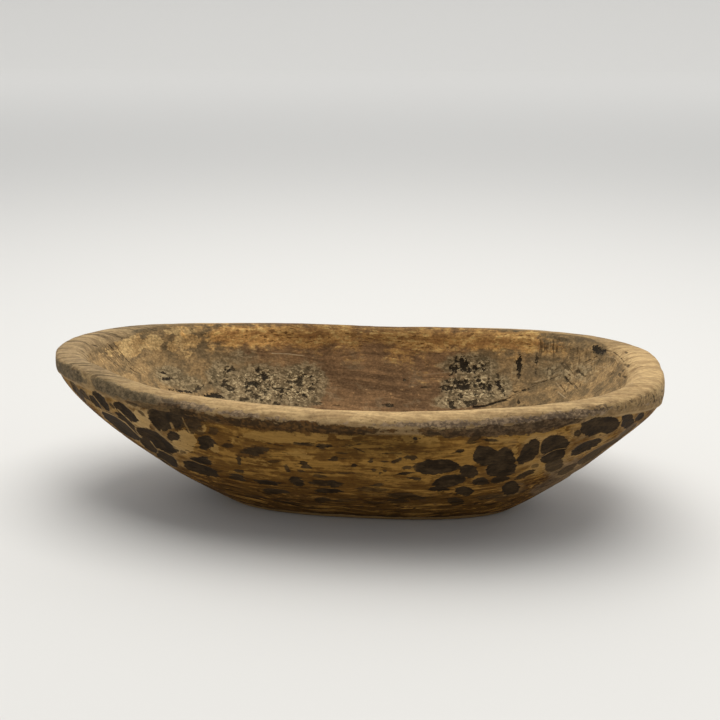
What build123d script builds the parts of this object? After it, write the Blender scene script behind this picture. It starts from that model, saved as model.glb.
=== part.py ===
from build123d import *
import math
import os

# Hewn wooden dough bowl: one long oval trough carved out of a single half log.
# The whole object is one piece of timber, so the model is one solid: a flat foot, a flaring flank,
# a thick rounded rim with a slight sheer (its ends stand higher than its sides), and the hollow.
#
# Frame: millimetres, +X along the length (the grain), +Y across, +Z up.
# Origin: on the floor, under the middle of the rim's outline.
#
# The skin is lofted through closed rings. A ring is an oval with its own half length to each end,
# half width to each side and squareness, so the two ends and the two sides can differ, as they do
# on a bowl that was cut by eye. Rings climb the outside, roll over the rim and go down the inside.
# ---------------------------------------------------------------- driving dimensions (mm)
LENGTH = 650.0            # over the rim, end to end
WIDTH = 325.0             # over the rim, side to side
RIM_Z = 151.0             # top of the rim at the middle of the long sides
RISE_LEFT, RISE_RIGHT = 9.5, 11.0        # how much higher the rim is at each end
BAND = 18.5               # height of the rim's upright outer face at the middle of the sides
SHOULDER_LEFT, SHOULDER_RIGHT = -17.4, -24.3   # it narrows at the shoulders
TIP_LEFT, TIP_RIGHT = 2.3, 11.2                 # and is tallest at the tips
WAVES = ((4.4, 215, 12), (-1.0, 245, 14), (-1.5, 275, 16), (0.7, 305, 14), (-3.0, 35, 18))   # rises and dips of the rim: mm, at degrees, over degrees
LIP = 1.2                 # how far the rim stands proud of the flank below it

SQUARE_LEFT, SQUARE_RIGHT = 2.03, 2.85   # 2 is an ellipse, more is blunter
SQUARE_FOOT = 2.60
SKEW, LEAN = -0.2, 5.8    # the tips swing sideways: y += SKEW u^3 + LEAN u^2, with u = x / half length

FOOT_LEFT, FOOT_RIGHT, FOOT_SIDE = 135.5, 177.0, 66.0    # half lengths and half width of the foot
CURVE_LEFT, CURVE_RIGHT, CURVE_SIDE = 1.32, 1.22, 1.55   # 1 is a straight flank, more is rounder
BEND_LEFT, BEND_RIGHT = 0.12, 0.17       # fuller low down and flatter under the rim

RIM_LEFT, RIM_RIGHT, RIM_FRONT, RIM_BACK = 35.0, 36.0, 26.0, 20.0   # thickness of the rim
ROLL = 0.64               # share of BAND over which the rim's top is rounded
CORNER_SIDE, CORNER_END = 2.1, 5.0       # squareness of the rim's outer corner
DROP_SIDE, DROP_END = 11.8, 9.5          # how far its inner half falls towards the hollow

FLOOR_Z = 24.0            # thickness of wood under the hollow
WELL_LEFT, WELL_RIGHT, WELL_SIDE = 96.0, 128.0, 40.0     # flat middle of the hollow's floor
HOLLOW_END, HOLLOW_SIDE = 1.30, 1.80     # roundness of the hollow's walls
START = 0.08              # the walls at the ends start sloping, not upright

N = 56                    # points round each ring

HALF, SIDE = LENGTH / 2, WIDTH / 2
ANGLES = [2 * math.pi * i / N for i in range(N)]


def ring(left, right, front, back, sq_left, sq_right):
    """Plan points of one oval ring."""
    pts = []
    for t in ANGLES:
        c, s = math.cos(t), math.sin(t)
        n = sq_left if c < 0 else sq_right
        a = left if c < 0 else right
        b = front if s < 0 else back
        r = (abs(c) ** n + abs(s) ** n) ** (-1 / n)
        x, y = a * r * c, b * r * s
        u = x / HALF
        pts.append((x, y + SKEW * u ** 3 + LEAN * u ** 2))
    return pts


def at_ends(x, left, right):
    """0 amidships, growing to left or right at the two ends."""
    u = max(-1.0, min(1.0, x / HALF))
    return (left if x < 0 else right) * u * u


RIM_PLAN = ring(HALF, HALF, SIDE, SIDE, SQUARE_LEFT, SQUARE_RIGHT)
TOP, TALL, END = [], [], []    # crest of the rim, height of its upright face, and 0 at the sides to 1 at the ends
for (x, _), t in zip(RIM_PLAN, ANGLES):
    u = min(1.0, abs(x) / HALF)
    shoulder, tip = (SHOULDER_LEFT, TIP_LEFT) if x < 0 else (SHOULDER_RIGHT, TIP_RIGHT)
    wave = sum(a * math.exp(-(((math.degrees(t) - at + 180) % 360 - 180) / wide) ** 2) for a, at, wide in WAVES)
    TOP.append(RIM_Z + at_ends(x, RISE_LEFT, RISE_RIGHT) + wave)
    TALL.append(BAND + wave + shoulder * u ** 4 * (1 - u ** 4) + tip * u ** 8)
    k = max(0.0, min(1.0, (u - 0.4) / 0.45))
    END.append(k * k * (3 - 2 * k))


def flank(s, inset=0.0):
    """Outside ring at share s of the way from the foot up to the rim's lower edge."""
    f_l, f_r, f_s = (1 - (1 - s) ** q + b * s * (1 - s) * (1 - 2 * s)
                     for q, b in ((CURVE_LEFT, BEND_LEFT), (CURVE_RIGHT, BEND_RIGHT), (CURVE_SIDE, 0.0)))
    left = FOOT_LEFT + (HALF - LIP - FOOT_LEFT) * f_l - inset
    right = FOOT_RIGHT + (HALF - LIP - FOOT_RIGHT) * f_r - inset
    side = FOOT_SIDE + (SIDE - LIP - FOOT_SIDE) * f_s - inset
    return ring(left, right, side, side,
                SQUARE_FOOT + (SQUARE_LEFT - SQUARE_FOOT) * s,
                SQUARE_FOOT + (SQUARE_RIGHT - SQUARE_FOOT) * s)


def across(w, grow=0.0):
    """Ring at share w of the way across the rim, from its outer to its inner face."""
    return ring(HALF - w * RIM_LEFT + grow, HALF - w * RIM_RIGHT + grow,
                SIDE - w * RIM_FRONT + grow, SIDE - w * RIM_BACK + grow, SQUARE_LEFT, SQUARE_RIGHT)


def hollow(d):
    """Inside ring at share d of the depth below the rim's rounded top."""
    e = (1 - (START + (1 - START) * d) ** HOLLOW_END) ** (1 / HOLLOW_END) / (1 - START ** HOLLOW_END) ** (1 / HOLLOW_END)
    s = (1 - d ** HOLLOW_SIDE) ** (1 / HOLLOW_SIDE)
    return ring(WELL_LEFT + (HALF - RIM_LEFT - WELL_LEFT) * e,
                WELL_RIGHT + (HALF - RIM_RIGHT - WELL_RIGHT) * e,
                WELL_SIDE + (SIDE - RIM_FRONT - WELL_SIDE) * s,
                WELL_SIDE + (SIDE - RIM_BACK - WELL_SIDE) * s,
                SQUARE_LEFT + 0.25 * d, SQUARE_RIGHT)


rings = []
# the foot's flat edge and its rounded corner
rings.append([(x, y, 0.0) for x, y in flank(0.0, 7.0)])
rings.append([(x, y, 0.65) for x, y in flank(0.0, 2.2)])
# the flank
for s in (0.035, 0.12, 0.25, 0.40, 0.55, 0.70, 0.82, 0.91, 0.97, 1.0):
    rings.append([(x, y, (top - tall) * s) for (x, y), top, tall in zip(flank(s), TOP, TALL)])
ARRIS = len(rings) - 1    # the rim's lower edge
# the rim's upright face, swelling to full size
for t, short in ((0.12, 0.5), (1 - ROLL, 0.0)):
    rings.append([(x, y, top - tall * (1 - t)) for (x, y), top, tall in zip(across(0.0, -short), TOP, TALL)])
# the top of the rim: a rounded outer corner, tighter at the ends, ...
for deg in (12, 28, 48, 70, 90):
    w = 0.5 - 0.5 * math.cos(math.radians(deg))
    pts = []
    for (x, y), top, tall, k in zip(across(w), TOP, TALL, END):
        n = CORNER_SIDE + (CORNER_END - CORNER_SIDE) * k
        pts.append((x, y, top - tall * ROLL * (1 - (1 - (1 - 2 * w) ** n) ** (1 / n))))
    rings.append(pts)


def inner(v, top, k):
    """Height of the rim's inner half at share v from its crest to the hollow's edge: round at the sides, sloping at the ends."""
    return top - (1 - k) * DROP_SIDE * (1 - (1 - v * v) ** 0.45) - k * DROP_END * v ** 2.4


# ... and an inner half that leads into the hollow
for v in (0.37, 0.66, 0.88, 1.0):
    rings.append([(x, y, inner(v, top, k)) for (x, y), top, k in zip(across(0.5 + 0.5 * v), TOP, END)])
# the wall of the hollow, down to its flat middle
for d in (0.08, 0.18, 0.30, 0.43, 0.56, 0.68, 0.79, 0.88, 0.945, 0.98, 0.996, 1.0):
    rings.append([(x, y, inner(1.0, top, k) * (1 - d) + FLOOR_Z * d) for (x, y), top, k in zip(hollow(d), TOP, END)])

wires = [Wire([Edge.make_spline([Vector(*p) for p in r], periodic=True)]) for r in rings]
# two skins that meet in the rim's lower edge, and flat faces for the foot and for the middle of the hollow
skins = Shell.make_loft(wires[:ARRIS + 1]).faces() + Shell.make_loft(wires[ARRIS:]).faces()
bowl = Solid(Shell([*skins, Face(wires[0]), Face(wires[-1])]))
if bowl.volume < 0:
    bowl = Solid(bowl.wrapped.Reversed())

box = bowl.bounding_box()
shift = Vector(-(box.min.X + box.max.X) / 2, -(box.min.Y + box.max.Y) / 2, -box.min.Z)
bowl = bowl.moved(Location(shift))
bowl.label = "bowl"

print("shift", [round(v, 3) for v in shift], "volume", round(bowl.volume), "size", bowl.bounding_box().size)
os.makedirs("parts", exist_ok=True)
export_step(bowl, "parts/bowl.step")
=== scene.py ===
import math

import bpy
import numpy as np
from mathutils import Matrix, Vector


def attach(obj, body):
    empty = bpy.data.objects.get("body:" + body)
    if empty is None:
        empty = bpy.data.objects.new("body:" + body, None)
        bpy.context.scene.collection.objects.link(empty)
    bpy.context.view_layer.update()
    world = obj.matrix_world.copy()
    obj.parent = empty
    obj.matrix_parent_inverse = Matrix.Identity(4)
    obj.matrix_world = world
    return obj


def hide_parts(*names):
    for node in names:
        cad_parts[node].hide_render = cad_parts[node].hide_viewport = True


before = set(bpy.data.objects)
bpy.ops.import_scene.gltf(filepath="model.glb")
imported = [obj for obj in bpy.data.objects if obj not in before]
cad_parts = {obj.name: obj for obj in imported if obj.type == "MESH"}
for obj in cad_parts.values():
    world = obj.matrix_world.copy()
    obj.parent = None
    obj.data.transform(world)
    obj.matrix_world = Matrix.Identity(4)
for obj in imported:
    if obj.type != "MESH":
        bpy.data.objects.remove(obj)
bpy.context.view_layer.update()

# A long oval dough bowl, hewn from one half log. The skin is rebuilt here as one dense closed mesh on the solid's own
# dimensions, with the tool scoops, torn grain, wear and drying cracks of old wood. Sizes in mm until the mesh is made.

# ------------------------------------------------------------------ the solid's dimensions
HALF, SIDE = 325.0, 162.5
RIM_Z, RISE_L, RISE_R = 151.0, 9.5, 11.0
BAND, SHOULDER_L, SHOULDER_R, TIP_L, TIP_R, LIP, ROLL = 18.5, -17.4, -24.3, 2.3, 11.2, 1.2, 0.64
WAVES = ((4.4, 215, 12), (-1.0, 245, 14), (-1.5, 275, 16), (0.7, 305, 14), (-3.0, 35, 18))
SQ_L, SQ_R, SQ_F = 2.03, 2.85, 2.60
SKEW, LEAN = -0.2, 5.8
FOOT_L, FOOT_R, FOOT_S = 135.5, 177.0, 66.0
CURVE_L, CURVE_R, CURVE_S, BEND_L, BEND_R = 1.32, 1.22, 1.55, 0.12, 0.17
RIM_L, RIM_R, RIM_F, RIM_B = 35.0, 36.0, 26.0, 20.0
CORNER_S, CORNER_E, DROP_S, DROP_E, START = 2.1, 5.0, 11.8, 9.5, 0.08
FLOOR = 24.0
WELL_L, WELL_R, WELL_S = 96.0, 128.0, 40.0
HOLLOW_E, HOLLOW_S = 1.30, 1.80


def ring(t, left, right, front, back, nl, nr):
    c, s = np.cos(t), np.sin(t)
    n, a, b = np.where(c < 0, nl, nr), np.where(c < 0, left, right), np.where(s < 0, front, back)
    q = (np.abs(c) ** n + np.abs(s) ** n) ** (-1 / n)
    x, y = a * q * c, b * q * s
    u = x / HALF
    return x, y + SKEW * u**3 + LEAN * u**2


def flank(t, s, inset=0.0):
    fl, fr, fs = (1 - (1 - s) ** q + b * s * (1 - s) * (1 - 2 * s) for q, b in ((CURVE_L, BEND_L), (CURVE_R, BEND_R), (CURVE_S, 0.0)))
    side = FOOT_S + (SIDE - LIP - FOOT_S) * fs - inset
    return ring(t, FOOT_L + (HALF - LIP - FOOT_L) * fl - inset, FOOT_R + (HALF - LIP - FOOT_R) * fr - inset, side, side,
                SQ_F + (SQ_L - SQ_F) * s, SQ_F + (SQ_R - SQ_F) * s)


def across(t, w, grow=0.0):
    return ring(t, HALF - w * RIM_L + grow, HALF - w * RIM_R + grow, SIDE - w * RIM_F + grow, SIDE - w * RIM_B + grow, SQ_L, SQ_R)


def hollow(t, d):
    e = (1 - (START + (1 - START) * d) ** HOLLOW_E) ** (1 / HOLLOW_E) / (1 - START**HOLLOW_E) ** (1 / HOLLOW_E)
    s = (1 - d**HOLLOW_S) ** (1 / HOLLOW_S)
    return ring(t, WELL_L + (HALF - RIM_L - WELL_L) * e, WELL_R + (HALF - RIM_R - WELL_R) * e,
                WELL_S + (SIDE - RIM_F - WELL_S) * s, WELL_S + (SIDE - RIM_B - WELL_S) * s, SQ_L + 0.25 * d, SQ_R)


# ------------------------------------------------------------------ the grid: rows up the outside, over the rim, down the inside
COLS = 520


def even_angles(a, b, count):
    """Angles between a and b that lie evenly along the rim."""
    t = np.linspace(a, b, 4000)
    x, y = across(t, 0.3)
    run = np.concatenate([[0], np.cumsum(np.hypot(np.diff(x), np.diff(y)))])
    return np.interp(np.linspace(0, run[-1], count, endpoint=False), run, t)


T = np.concatenate([even_angles(0, math.pi, COLS // 2), even_angles(math.pi, 2 * math.pi, COLS // 2)])
rim_x = ring(T, HALF, HALF, SIDE, SIDE, SQ_L, SQ_R)[0]
u = np.minimum(1, np.abs(rim_x) / HALF)
wave = sum(a * np.exp(-(((np.degrees(T) - at + 180) % 360 - 180) / wide) ** 2) for a, at, wide in WAVES)
TOP = RIM_Z + np.where(rim_x < 0, RISE_L, RISE_R) * u**2 + wave
TALL = BAND + wave + np.where(rim_x < 0, SHOULDER_L, SHOULDER_R) * u**4 * (1 - u**4) + np.where(rim_x < 0, TIP_L, TIP_R) * u**8
END = np.clip((u - 0.4) / 0.45, 0, 1)
END = END * END * (3 - 2 * END)
CORNER = CORNER_S + (CORNER_E - CORNER_S) * END


def inner(v):
    return TOP - (1 - END) * DROP_S * (1 - (1 - v * v) ** 0.45) - END * DROP_E * v**2.4



rows, side_of = [], []      # side_of: 0 outside, 1 rim, 2 inside


def row(xy, z, side):
    rows.append(np.stack([xy[0], xy[1], np.broadcast_to(z, T.shape)], 1))
    side_of.append(side)


foot = np.stack(flank(T, 0.0, 7.0), 1)
foot_mid = np.array([(FOOT_R - FOOT_L) / 2, 0.0])
for f in (0.12, 0.3, 0.5, 0.68, 0.84, 0.94):
    xy = foot_mid + (foot - foot_mid) * f
    row((xy[:, 0], xy[:, 1]), 0.0, 0)
DISC = len(rows)
row(flank(T, 0.0, 7.0), 0.0, 0)
row(flank(T, 0.0, 4.4), 0.2, 0)
row(flank(T, 0.0, 2.2), 0.65, 0)
row(flank(T, 0.014, 0.35), 1.9, 0)
for s in np.linspace(0.035, 1.0, 72):
    row(flank(T, s), (TOP - TALL) * s, 0)
ARRIS = len(rows) - 1
for t in np.linspace(0.08, 1 - ROLL, 3):
    row(across(T, 0.0, -LIP * (1 - t / (1 - ROLL)) ** 2), TOP - TALL * (1 - t), 1)
for deg in np.linspace(7, 90, 12):
    w = 0.5 - 0.5 * math.cos(math.radians(deg))
    row(across(T, w), TOP - TALL * ROLL * (1 - (1 - (1 - 2 * w) ** CORNER) ** (1 / CORNER)), 1)
for deg in np.linspace(9, 81, 9):
    v = math.sin(math.radians(deg))
    row(across(T, 0.5 + 0.5 * v), inner(v), 1)
row(across(T, 1.0), inner(1.0), 1)
INNER = len(rows) - 1
for f in np.linspace(0.0125, 1.0, 76):
    d = 1 - (1 - f) ** 1.6
    row(hollow(T, d), inner(1.0) * (1 - d) + FLOOR * d, 2)
WELL = len(rows) - 1
well, well_mid = rows[-1][:, :2], np.array([(WELL_R - WELL_L) / 2, 0.0])
for f in (0.92, 0.8, 0.64, 0.46, 0.28, 0.12):
    xy = well_mid + (well - well_mid) * f
    row((xy[:, 0], xy[:, 1]), FLOOR, 2)

P = np.array(rows)
ROWS = len(P)
side_of = np.array(side_of)
run = np.concatenate([np.zeros((1, COLS)), np.cumsum(np.linalg.norm(np.diff(P, axis=0), axis=2), axis=0)])
PROF = run - run[ARRIS]     # mm along the profile from the rim's lower edge, negative down the flank


def unit(v):
    return v / np.maximum(np.linalg.norm(v, axis=-1, keepdims=True), 1e-9)


E1 = unit(np.roll(P, -1, 1) - np.roll(P, 1, 1))
E2 = np.gradient(P, axis=0)
E2 = unit(E2 - E1 * (E2 * E1).sum(2, keepdims=True))
NORMAL = np.cross(E1, E2)
ANGLE = np.degrees(T)


def spot(angle, prof, side):
    """Place and tangent frame of the skin at an angle and a distance along the profile."""
    i = int(np.argmin(np.abs((ANGLE - angle + 180) % 360 - 180)))
    ok = side_of == side
    j = np.where(ok)[0][np.argmin(np.abs(PROF[ok, i] - prof))]
    k = (i + 1) % COLS if (angle - ANGLE[i] + 180) % 360 - 180 > 0 else (i - 1) % COLS
    gap = (ANGLE[k] - ANGLE[i] + 180) % 360 - 180
    f = ((angle - ANGLE[i] + 180) % 360 - 180) / gap
    p = P[j, i] * (1 - f) + P[j, k] * f + E2[j, i] * (prof - PROF[j, i])
    return p, E1[j, i], E2[j, i], NORMAL[j, i]


# ------------------------------------------------------------------ marks on the wood
# Oval marks: (side: 0 outside, 1 rim, 2 inside; angle in degrees; mm along the profile; half length; half width; turn in degrees; strength).
# Lines: (strength, [(angle, mm along the profile), ...]).
SCOOPS = [
    (0, 220.9, -10.3, 12.5, 7.7, -34, 1), (0, 217.3, -16.5, 10.2, 6.6, -51, 1), (0, 228.3, -14.5, 15, 8.7, -25, 1), (0, 225.9, -26.8, 12.6, 5.9, -37, 1),
    (0, 220.4, -45.6, 24.3, 18.6, -18, 1), (0, 231.4, -47.7, 23.2, 15.8, -28, 1), (0, 224.7, -68.2, 16.9, 10.6, 67, 1), (0, 224.9, -92.7, 27.1, 12.3, 51, 1),
    (0, 239, -9, 19.8, 9.7, 8, 1), (0, 238.3, -29.8, 10.1, 6.7, 44, 1), (0, 235, -31.7, 8.2, 2.3, -70, 0.9), (0, 245.2, -5.3, 10.5, 7.9, 29, 0.8),
    (0, 245.9, -29.4, 12, 8.2, 45, 1), (0, 240.6, -64.9, 13, 7.8, 15, 1), (0, 236.5, -86.7, 20.4, 15, -1, 1), (0, 246.5, -84.6, 8.5, 7.7, 78, 0.95),
    (0, 255.3, -32, 15.4, 6.3, 18, 0.85), (0, 250.7, -28.1, 4.6, 2.6, 21, 0.7), (0, 251, -49.1, 7.4, 1.9, 82, 0.9), (0, 248.7, -70.2, 4.3, 3, 12, 0.9),
    (0, 236, -54.3, 3.9, 2.2, 37, 0.9), (0, 237.1, -55.2, 5.4, 2.9, 24, 0.6), (0, 213.3, -13, 9.1, 5.3, -16, 0.9), (0, 265.7, -14.4, 10.1, 1.5, 1, 0.8),
    (0, 269.1, -15.1, 6.7, 2.5, -2, 0.85), (0, 264.8, -44.1, 7.2, 4.6, -71, 0.9), (0, 260.7, -52.7, 6.4, 2.1, 90, 0.85), (0, 270.7, -31.6, 4.4, 2.8, 39, 0.85),
    (0, 274.5, -39.2, 3.1, 2.6, 2, 0.95), (0, 277.5, -33, 3.7, 2.3, 60, 0.9), (0, 280, -33.3, 3.3, 1.4, 3, 0.85), (0, 282.2, -31.5, 5.2, 2.3, 31, 0.9),
    (0, 284.7, -29.1, 4.8, 3.4, 14, 0.9), (0, 278.3, -46.9, 2.4, 1.9, 78, 0.8), (0, 279.5, -51.5, 2.7, 1.5, 85, 0.8), (0, 280.4, -48.2, 2.1, 1.6, 81, 0.8),
    (0, 253.6, -86.3, 11.1, 5.5, 6, 1), (0, 261.5, -75.4, 9.2, 7.1, -70, 1), (0, 267.1, -60.1, 10.1, 3.9, 8, 0.75), (0, 267.8, -75.4, 13.5, 5.1, 2, 0.9),
    (0, 269.5, -74.6, 6.8, 4.4, 76, 1), (0, 253.8, -105.1, 13.4, 6.9, -2, 0.95), (0, 268.4, -90.9, 14.7, 5.8, 4, 1), (0, 265.8, -111.6, 8.9, 6.5, 30, 0.85),
    (0, 271.9, -112.1, 12.3, 4.1, 3, 0.6), (0, 279.5, -74.5, 6.7, 2.8, 31, 0.85), (0, 277.9, -84.3, 19.3, 4.3, 0, 0.6), (0, 285.9, -100.2, 15.9, 7.1, -6, 0.75),
    (0, 285.5, -113.2, 11.5, 5.1, 0, 0.7), (0, 279.7, -117, 9.1, 3.4, 1, 0.65), (0, 284.4, -4.6, 2.2, 1.9, 86, 1), (0, 284, -52.4, 8.3, 2.5, 13, 0.9),
    (0, 286.5, -63.5, 6.4, 3, -17, 0.95), (0, 242.2, -136.1, 12.2, 5, 1, 0.6), (0, 254.1, -133.2, 15.9, 4.6, 0, 0.55), (0, 263.5, -54.3, 3.4, 2.1, -10, 0.8),
    (0, 258.5, -43.2, 4.7, 1.5, 10, 0.6), (0, 272.1, -23.3, 4.3, 1.2, -3, 0.6), (0, 273.7, -53, 10.9, 1.5, 8, 0.6), (0, 289.9, -43.2, 21.8, 11, 4, 1),
    (0, 286.4, -42.2, 6.7, 5.4, -16, 0.85), (0, 284.3, -43.3, 5.7, 4.3, 4, 0.85), (0, 296.2, -55.5, 12.5, 9, -61, 1), (0, 297.4, -31, 15.4, 12.1, -62, 1),
    (0, 301.1, -37.6, 15.9, 9.4, -77, 1), (0, 302.4, -59.6, 16.3, 12.9, -32, 1), (0, 305.1, -34.1, 18.3, 9.4, 75, 1), (0, 309.5, -31, 17, 13.7, -49, 1),
    (0, 311.6, -51.1, 13.1, 11.2, 3, 1), (0, 293.6, -70.6, 16.7, 11.5, 32, 1), (0, 300.5, -80.4, 10.1, 7.1, -61, 1), (0, 304.4, -82.4, 9.8, 6.1, 2, 0.95),
    (0, 292.7, -87.5, 10.9, 6.3, -17, 1), (0, 298.7, -98.8, 11.9, 8.7, -60, 1), (0, 299.3, -124.3, 10.6, 7.7, -53, 0.85), (0, 310.2, -110.3, 18.4, 9.2, -75, 1),
    (0, 309.3, -82.7, 12.3, 5.4, 44, 0.95), (0, 315, -71.9, 15.4, 9.2, -62, 0.8), (0, 292.5, -21.2, 5.1, 2.6, 9, 0.9), (0, 296.9, -9.3, 7.6, 1.8, -9, 0.9),
    (0, 293.9, -4, 8.6, 2.7, 35, 0.8), (1, 286.7, 0.3, 6.5, 2.1, 8, 0.8), (0, 284, -28.8, 3.5, 3.3, 73, 0.8), (0, 286.8, -63.5, 6.9, 2.9, -17, 0.9),
    (0, 287.7, -103.3, 12, 6, -8, 0.75), (0, 293.4, -10.8, 3.7, 1.2, -4, 0.7), (0, 289.4, -3.3, 4.6, 1.3, -7, 0.7), (0, 307.4, -126.9, 14, 5.4, -9, 0.55),
    (0, 309.6, -63.6, 4.5, 3.2, -52, 0.6), (0, 316.9, -13, 22.9, 13, -9, 1), (0, 324.3, -12.9, 14.1, 6.6, -39, 1), (0, 328.2, -7.9, 6.9, 5.2, -19, 1),
    (0, 318.6, -45.3, 16.5, 10.1, 26, 1), (0, 312.2, -16.7, 5.3, 3.1, -58, 0.9), (0, 327, -65.5, 21.9, 13.1, 64, 0.8), (0, 330.4, -30.7, 12.5, 10.9, -72, 0.75),
    (0, 323.2, -92.1, 12.5, 10, -83, 0.7), (0, 330.2, -52, 12.8, 12.4, 45, 0.8), (0, 237.9, -3.6, 12.7, 5.2, 3, 0.9), (0, 242.5, -1.5, 11.3, 6.3, 10, 0.9),
    (0, 236.8, -18.2, 10.6, 7.6, -3, 1), (0, 241.6, -11.8, 8, 5.3, 37, 0.85), (0, 233.4, -7.7, 5.1, 2.2, -29, 0.8), (0, 246, -13.6, 6.1, 3.9, -4, 0.6),
    (0, 244.1, -13.8, 5.7, 4.4, 53, 0.75), (1, 243.4, 5, 12.1, 2.7, 3, 0.8), (0, 249.2, -10.5, 5.6, 3.4, 20, 0.7), (1, 251, 3.1, 3.8, 2.1, 15, 0.6),
    (0, 224.6, -11.9, 4.1, 2.4, -37, 0.8), (0, 231.9, -30.5, 3.5, 2, -58, 0.7), (1, 231.5, 0.3, 8.4, 2.5, -2, 0.7),
]

STAINS = [
    (0, 321.1, -105.7, 31.7, 20.7, 65, 0.75), (0, 328.7, -64.4, 32.5, 27.7, -72, 0.7), (0, 312.2, -142.2, 39.5, 17.8, -11, 0.6), (0, 285.4, -109, 55, 17.5, -3, 0.55),
    (0, 259.2, -114.3, 41.2, 18.9, -2, 0.5), (0, 239, -115.3, 25.8, 16.5, -17, 0.4), (0, 255.3, -31.8, 22.2, 10.6, 20, 0.8), (0, 246.7, -40.7, 23.9, 17.2, 32, 0.25),
    (0, 313.5, -117.6, 22.1, 19.2, 86, 0.6), (0, 245.1, -3.2, 16.8, 11.6, 16, 0.95), (0, 249.9, -2.2, 13.7, 7.5, 7, 0.6), (1, 248.3, 7.2, 15.7, 4, 1, 0.6),
    (0, 315.4, -75.2, 23.9, 9.6, -61, 0.95),
]

GREYS = [
    (1, 330.9, 41.5, 19.1, 12.7, -49, 0.35), (1, 321.8, 24.8, 23.2, 5.2, -5, 0.3), (2, 185.5, 62.1, 22.4, 2.5, -18, 0.4), (1, 168.6, 54.3, 22.3, 2.5, -9, 0.45),
    (1, 148.1, 38.9, 24.2, 2.9, -1, 0.8), (1, 143, 37.7, 17.9, 2.6, -1, 0.8), (1, 46.2, 38.5, 15.8, 2.6, -3, 0.8), (1, 31.2, 52.1, 10.8, 4.1, -3, 1.2),
    (2, 42.9, 82.1, 9.5, 7.4, -76, 0.7), (2, 40.4, 75.8, 8.4, 5, -68, 0.8), (2, 35.1, 94.3, 6.2, 4.9, -32, 0.8), (2, 9.2, 102.9, 14.5, 7, 26, 0.7),
    (2, 47.9, 57.1, 6.9, 6, -82, 0.5), (2, 145.4, 61.6, 6.1, 5.3, 52, 0.9), (2, 142.5, 52.5, 5.4, 2.9, -3, 0.7), (1, 148.4, 43.8, 7.4, 2.5, 5, 0.7),
    (0, 326.8, -106.5, 49.8, 24.2, -50, 0.95), (0, 326.3, -134.2, 29.3, 17.3, -47, 0.9),
]

BARES = [
    (2, 170.8, 63.1, 17.8, 8.9, 11, 0.45), (1, 137.4, 41, 23.6, 5.1, -4, 0.8), (1, 150.8, 43.4, 18.8, 3.8, 6, 0.6), (1, 160.8, 50, 14.3, 4.6, 13, 0.7),
    (2, 123.9, 48.4, 17.8, 6.1, 0, 0.45), (2, 62.6, 47.3, 26, 5.4, 0, 0.5), (1, 55.1, 44.1, 20, 4.7, 0, 0.5), (2, 67.5, 50.8, 7.1, 6, 5, 0.45),
    (1, 46.3, 44.5, 18, 3.5, -3, 0.45), (2, 39.5, 82.9, 26.6, 9.2, -8, 0.2), (2, 30.5, 98.5, 23.1, 10.4, 30, 0.3), (2, 43.7, 103.6, 17.5, 7.8, 35, 0.2),
    (2, 143.8, 52.5, 57.8, 15.3, 0, 0.3), (2, 157.9, 58.8, 21.5, 13.8, 12, 1.1), (2, 148, 54.8, 12.3, 8.8, 6, 1), (2, 136.9, 54.5, 17.9, 8.9, -2, 1.05),
    (2, 142.7, 62.2, 8.3, 7.2, 76, 0.8), (2, 138.9, 69.6, 9.6, 8.4, 3, 0.5), (1, 127.7, 43.7, 23.7, 7.1, -1, 0.6), (0, 232, -18.6, 13, 12.7, 89, 1),
    (0, 240.2, -34.7, 22.8, 12.3, 55, 1), (0, 246.7, -9.4, 6.9, 4.1, 35, 1), (0, 247.1, -34.4, 10.2, 5.5, 76, 0.7), (0, 262.5, -8.2, 49, 7.4, 4, 1),
    (0, 252.9, -19.3, 9.7, 6.7, 62, 0.4), (0, 255.8, -49.3, 23.6, 8, 12, 0.55), (0, 264.4, -29.8, 17.9, 7, 8, 0.5), (0, 272.8, -3.3, 18.9, 4.3, 3, 0.55),
    (0, 285.2, -5.8, 32.5, 7.7, 0, 0.5), (0, 281.6, -24.6, 18.9, 6.7, 2, 0.4), (0, 307.9, -8.6, 29.5, 5.2, -1, 0.5), (0, 309.2, -70.2, 10.6, 7.2, 76, 0.5),
    (0, 323.1, -46.8, 16, 11.1, 10, 0.5), (0, 303.8, -10.5, 18.6, 6.5, 10, 0.9), (0, 310.8, -69.4, 19.4, 7.9, -76, 0.9), (0, 297.2, -8.9, 18.8, 4.7, -5, 0.7),
    (0, 302.1, -29.6, 17.8, 2.9, -84, 0.7), (0, 311.6, -17.1, 8.2, 6.4, -50, 0.6),
]

GOLDS = [
    (2, 122.1, 46.8, 29.8, 9.7, 1, 1), (2, 115.6, 46.6, 35.8, 9.8, -2, 1), (1, 103.6, 40.4, 42.1, 8.6, 1, 0.9), (2, 106.4, 52.3, 30, 6.1, -2, 0.5),
    (2, 80.6, 56.5, 24, 18.1, -3, 0.55), (1, 83.3, 37, 35.9, 6, 2, 0.8), (1, 72.9, 41.9, 29.7, 8.5, 0, 0.9), (1, 64, 44.7, 41.3, 9.7, -1, 1),
    (1, 55, 46.4, 29.4, 8.3, -3, 0.75), (1, 95.2, 38.6, 24.1, 7.2, 2, 0.7), (2, 72.7, 88.4, 23.9, 17.9, -86, 0.35), (2, 81.9, 86.9, 24, 14.4, 2, 0.2),
    (1, 44.4, 47.5, 18.1, 5.7, -10, 0.55), (2, 102.6, 48.9, 30.1, 8.6, 1, 0.8), (2, 111.6, 53.5, 24, 6.1, 0, 0.6),
]

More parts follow.
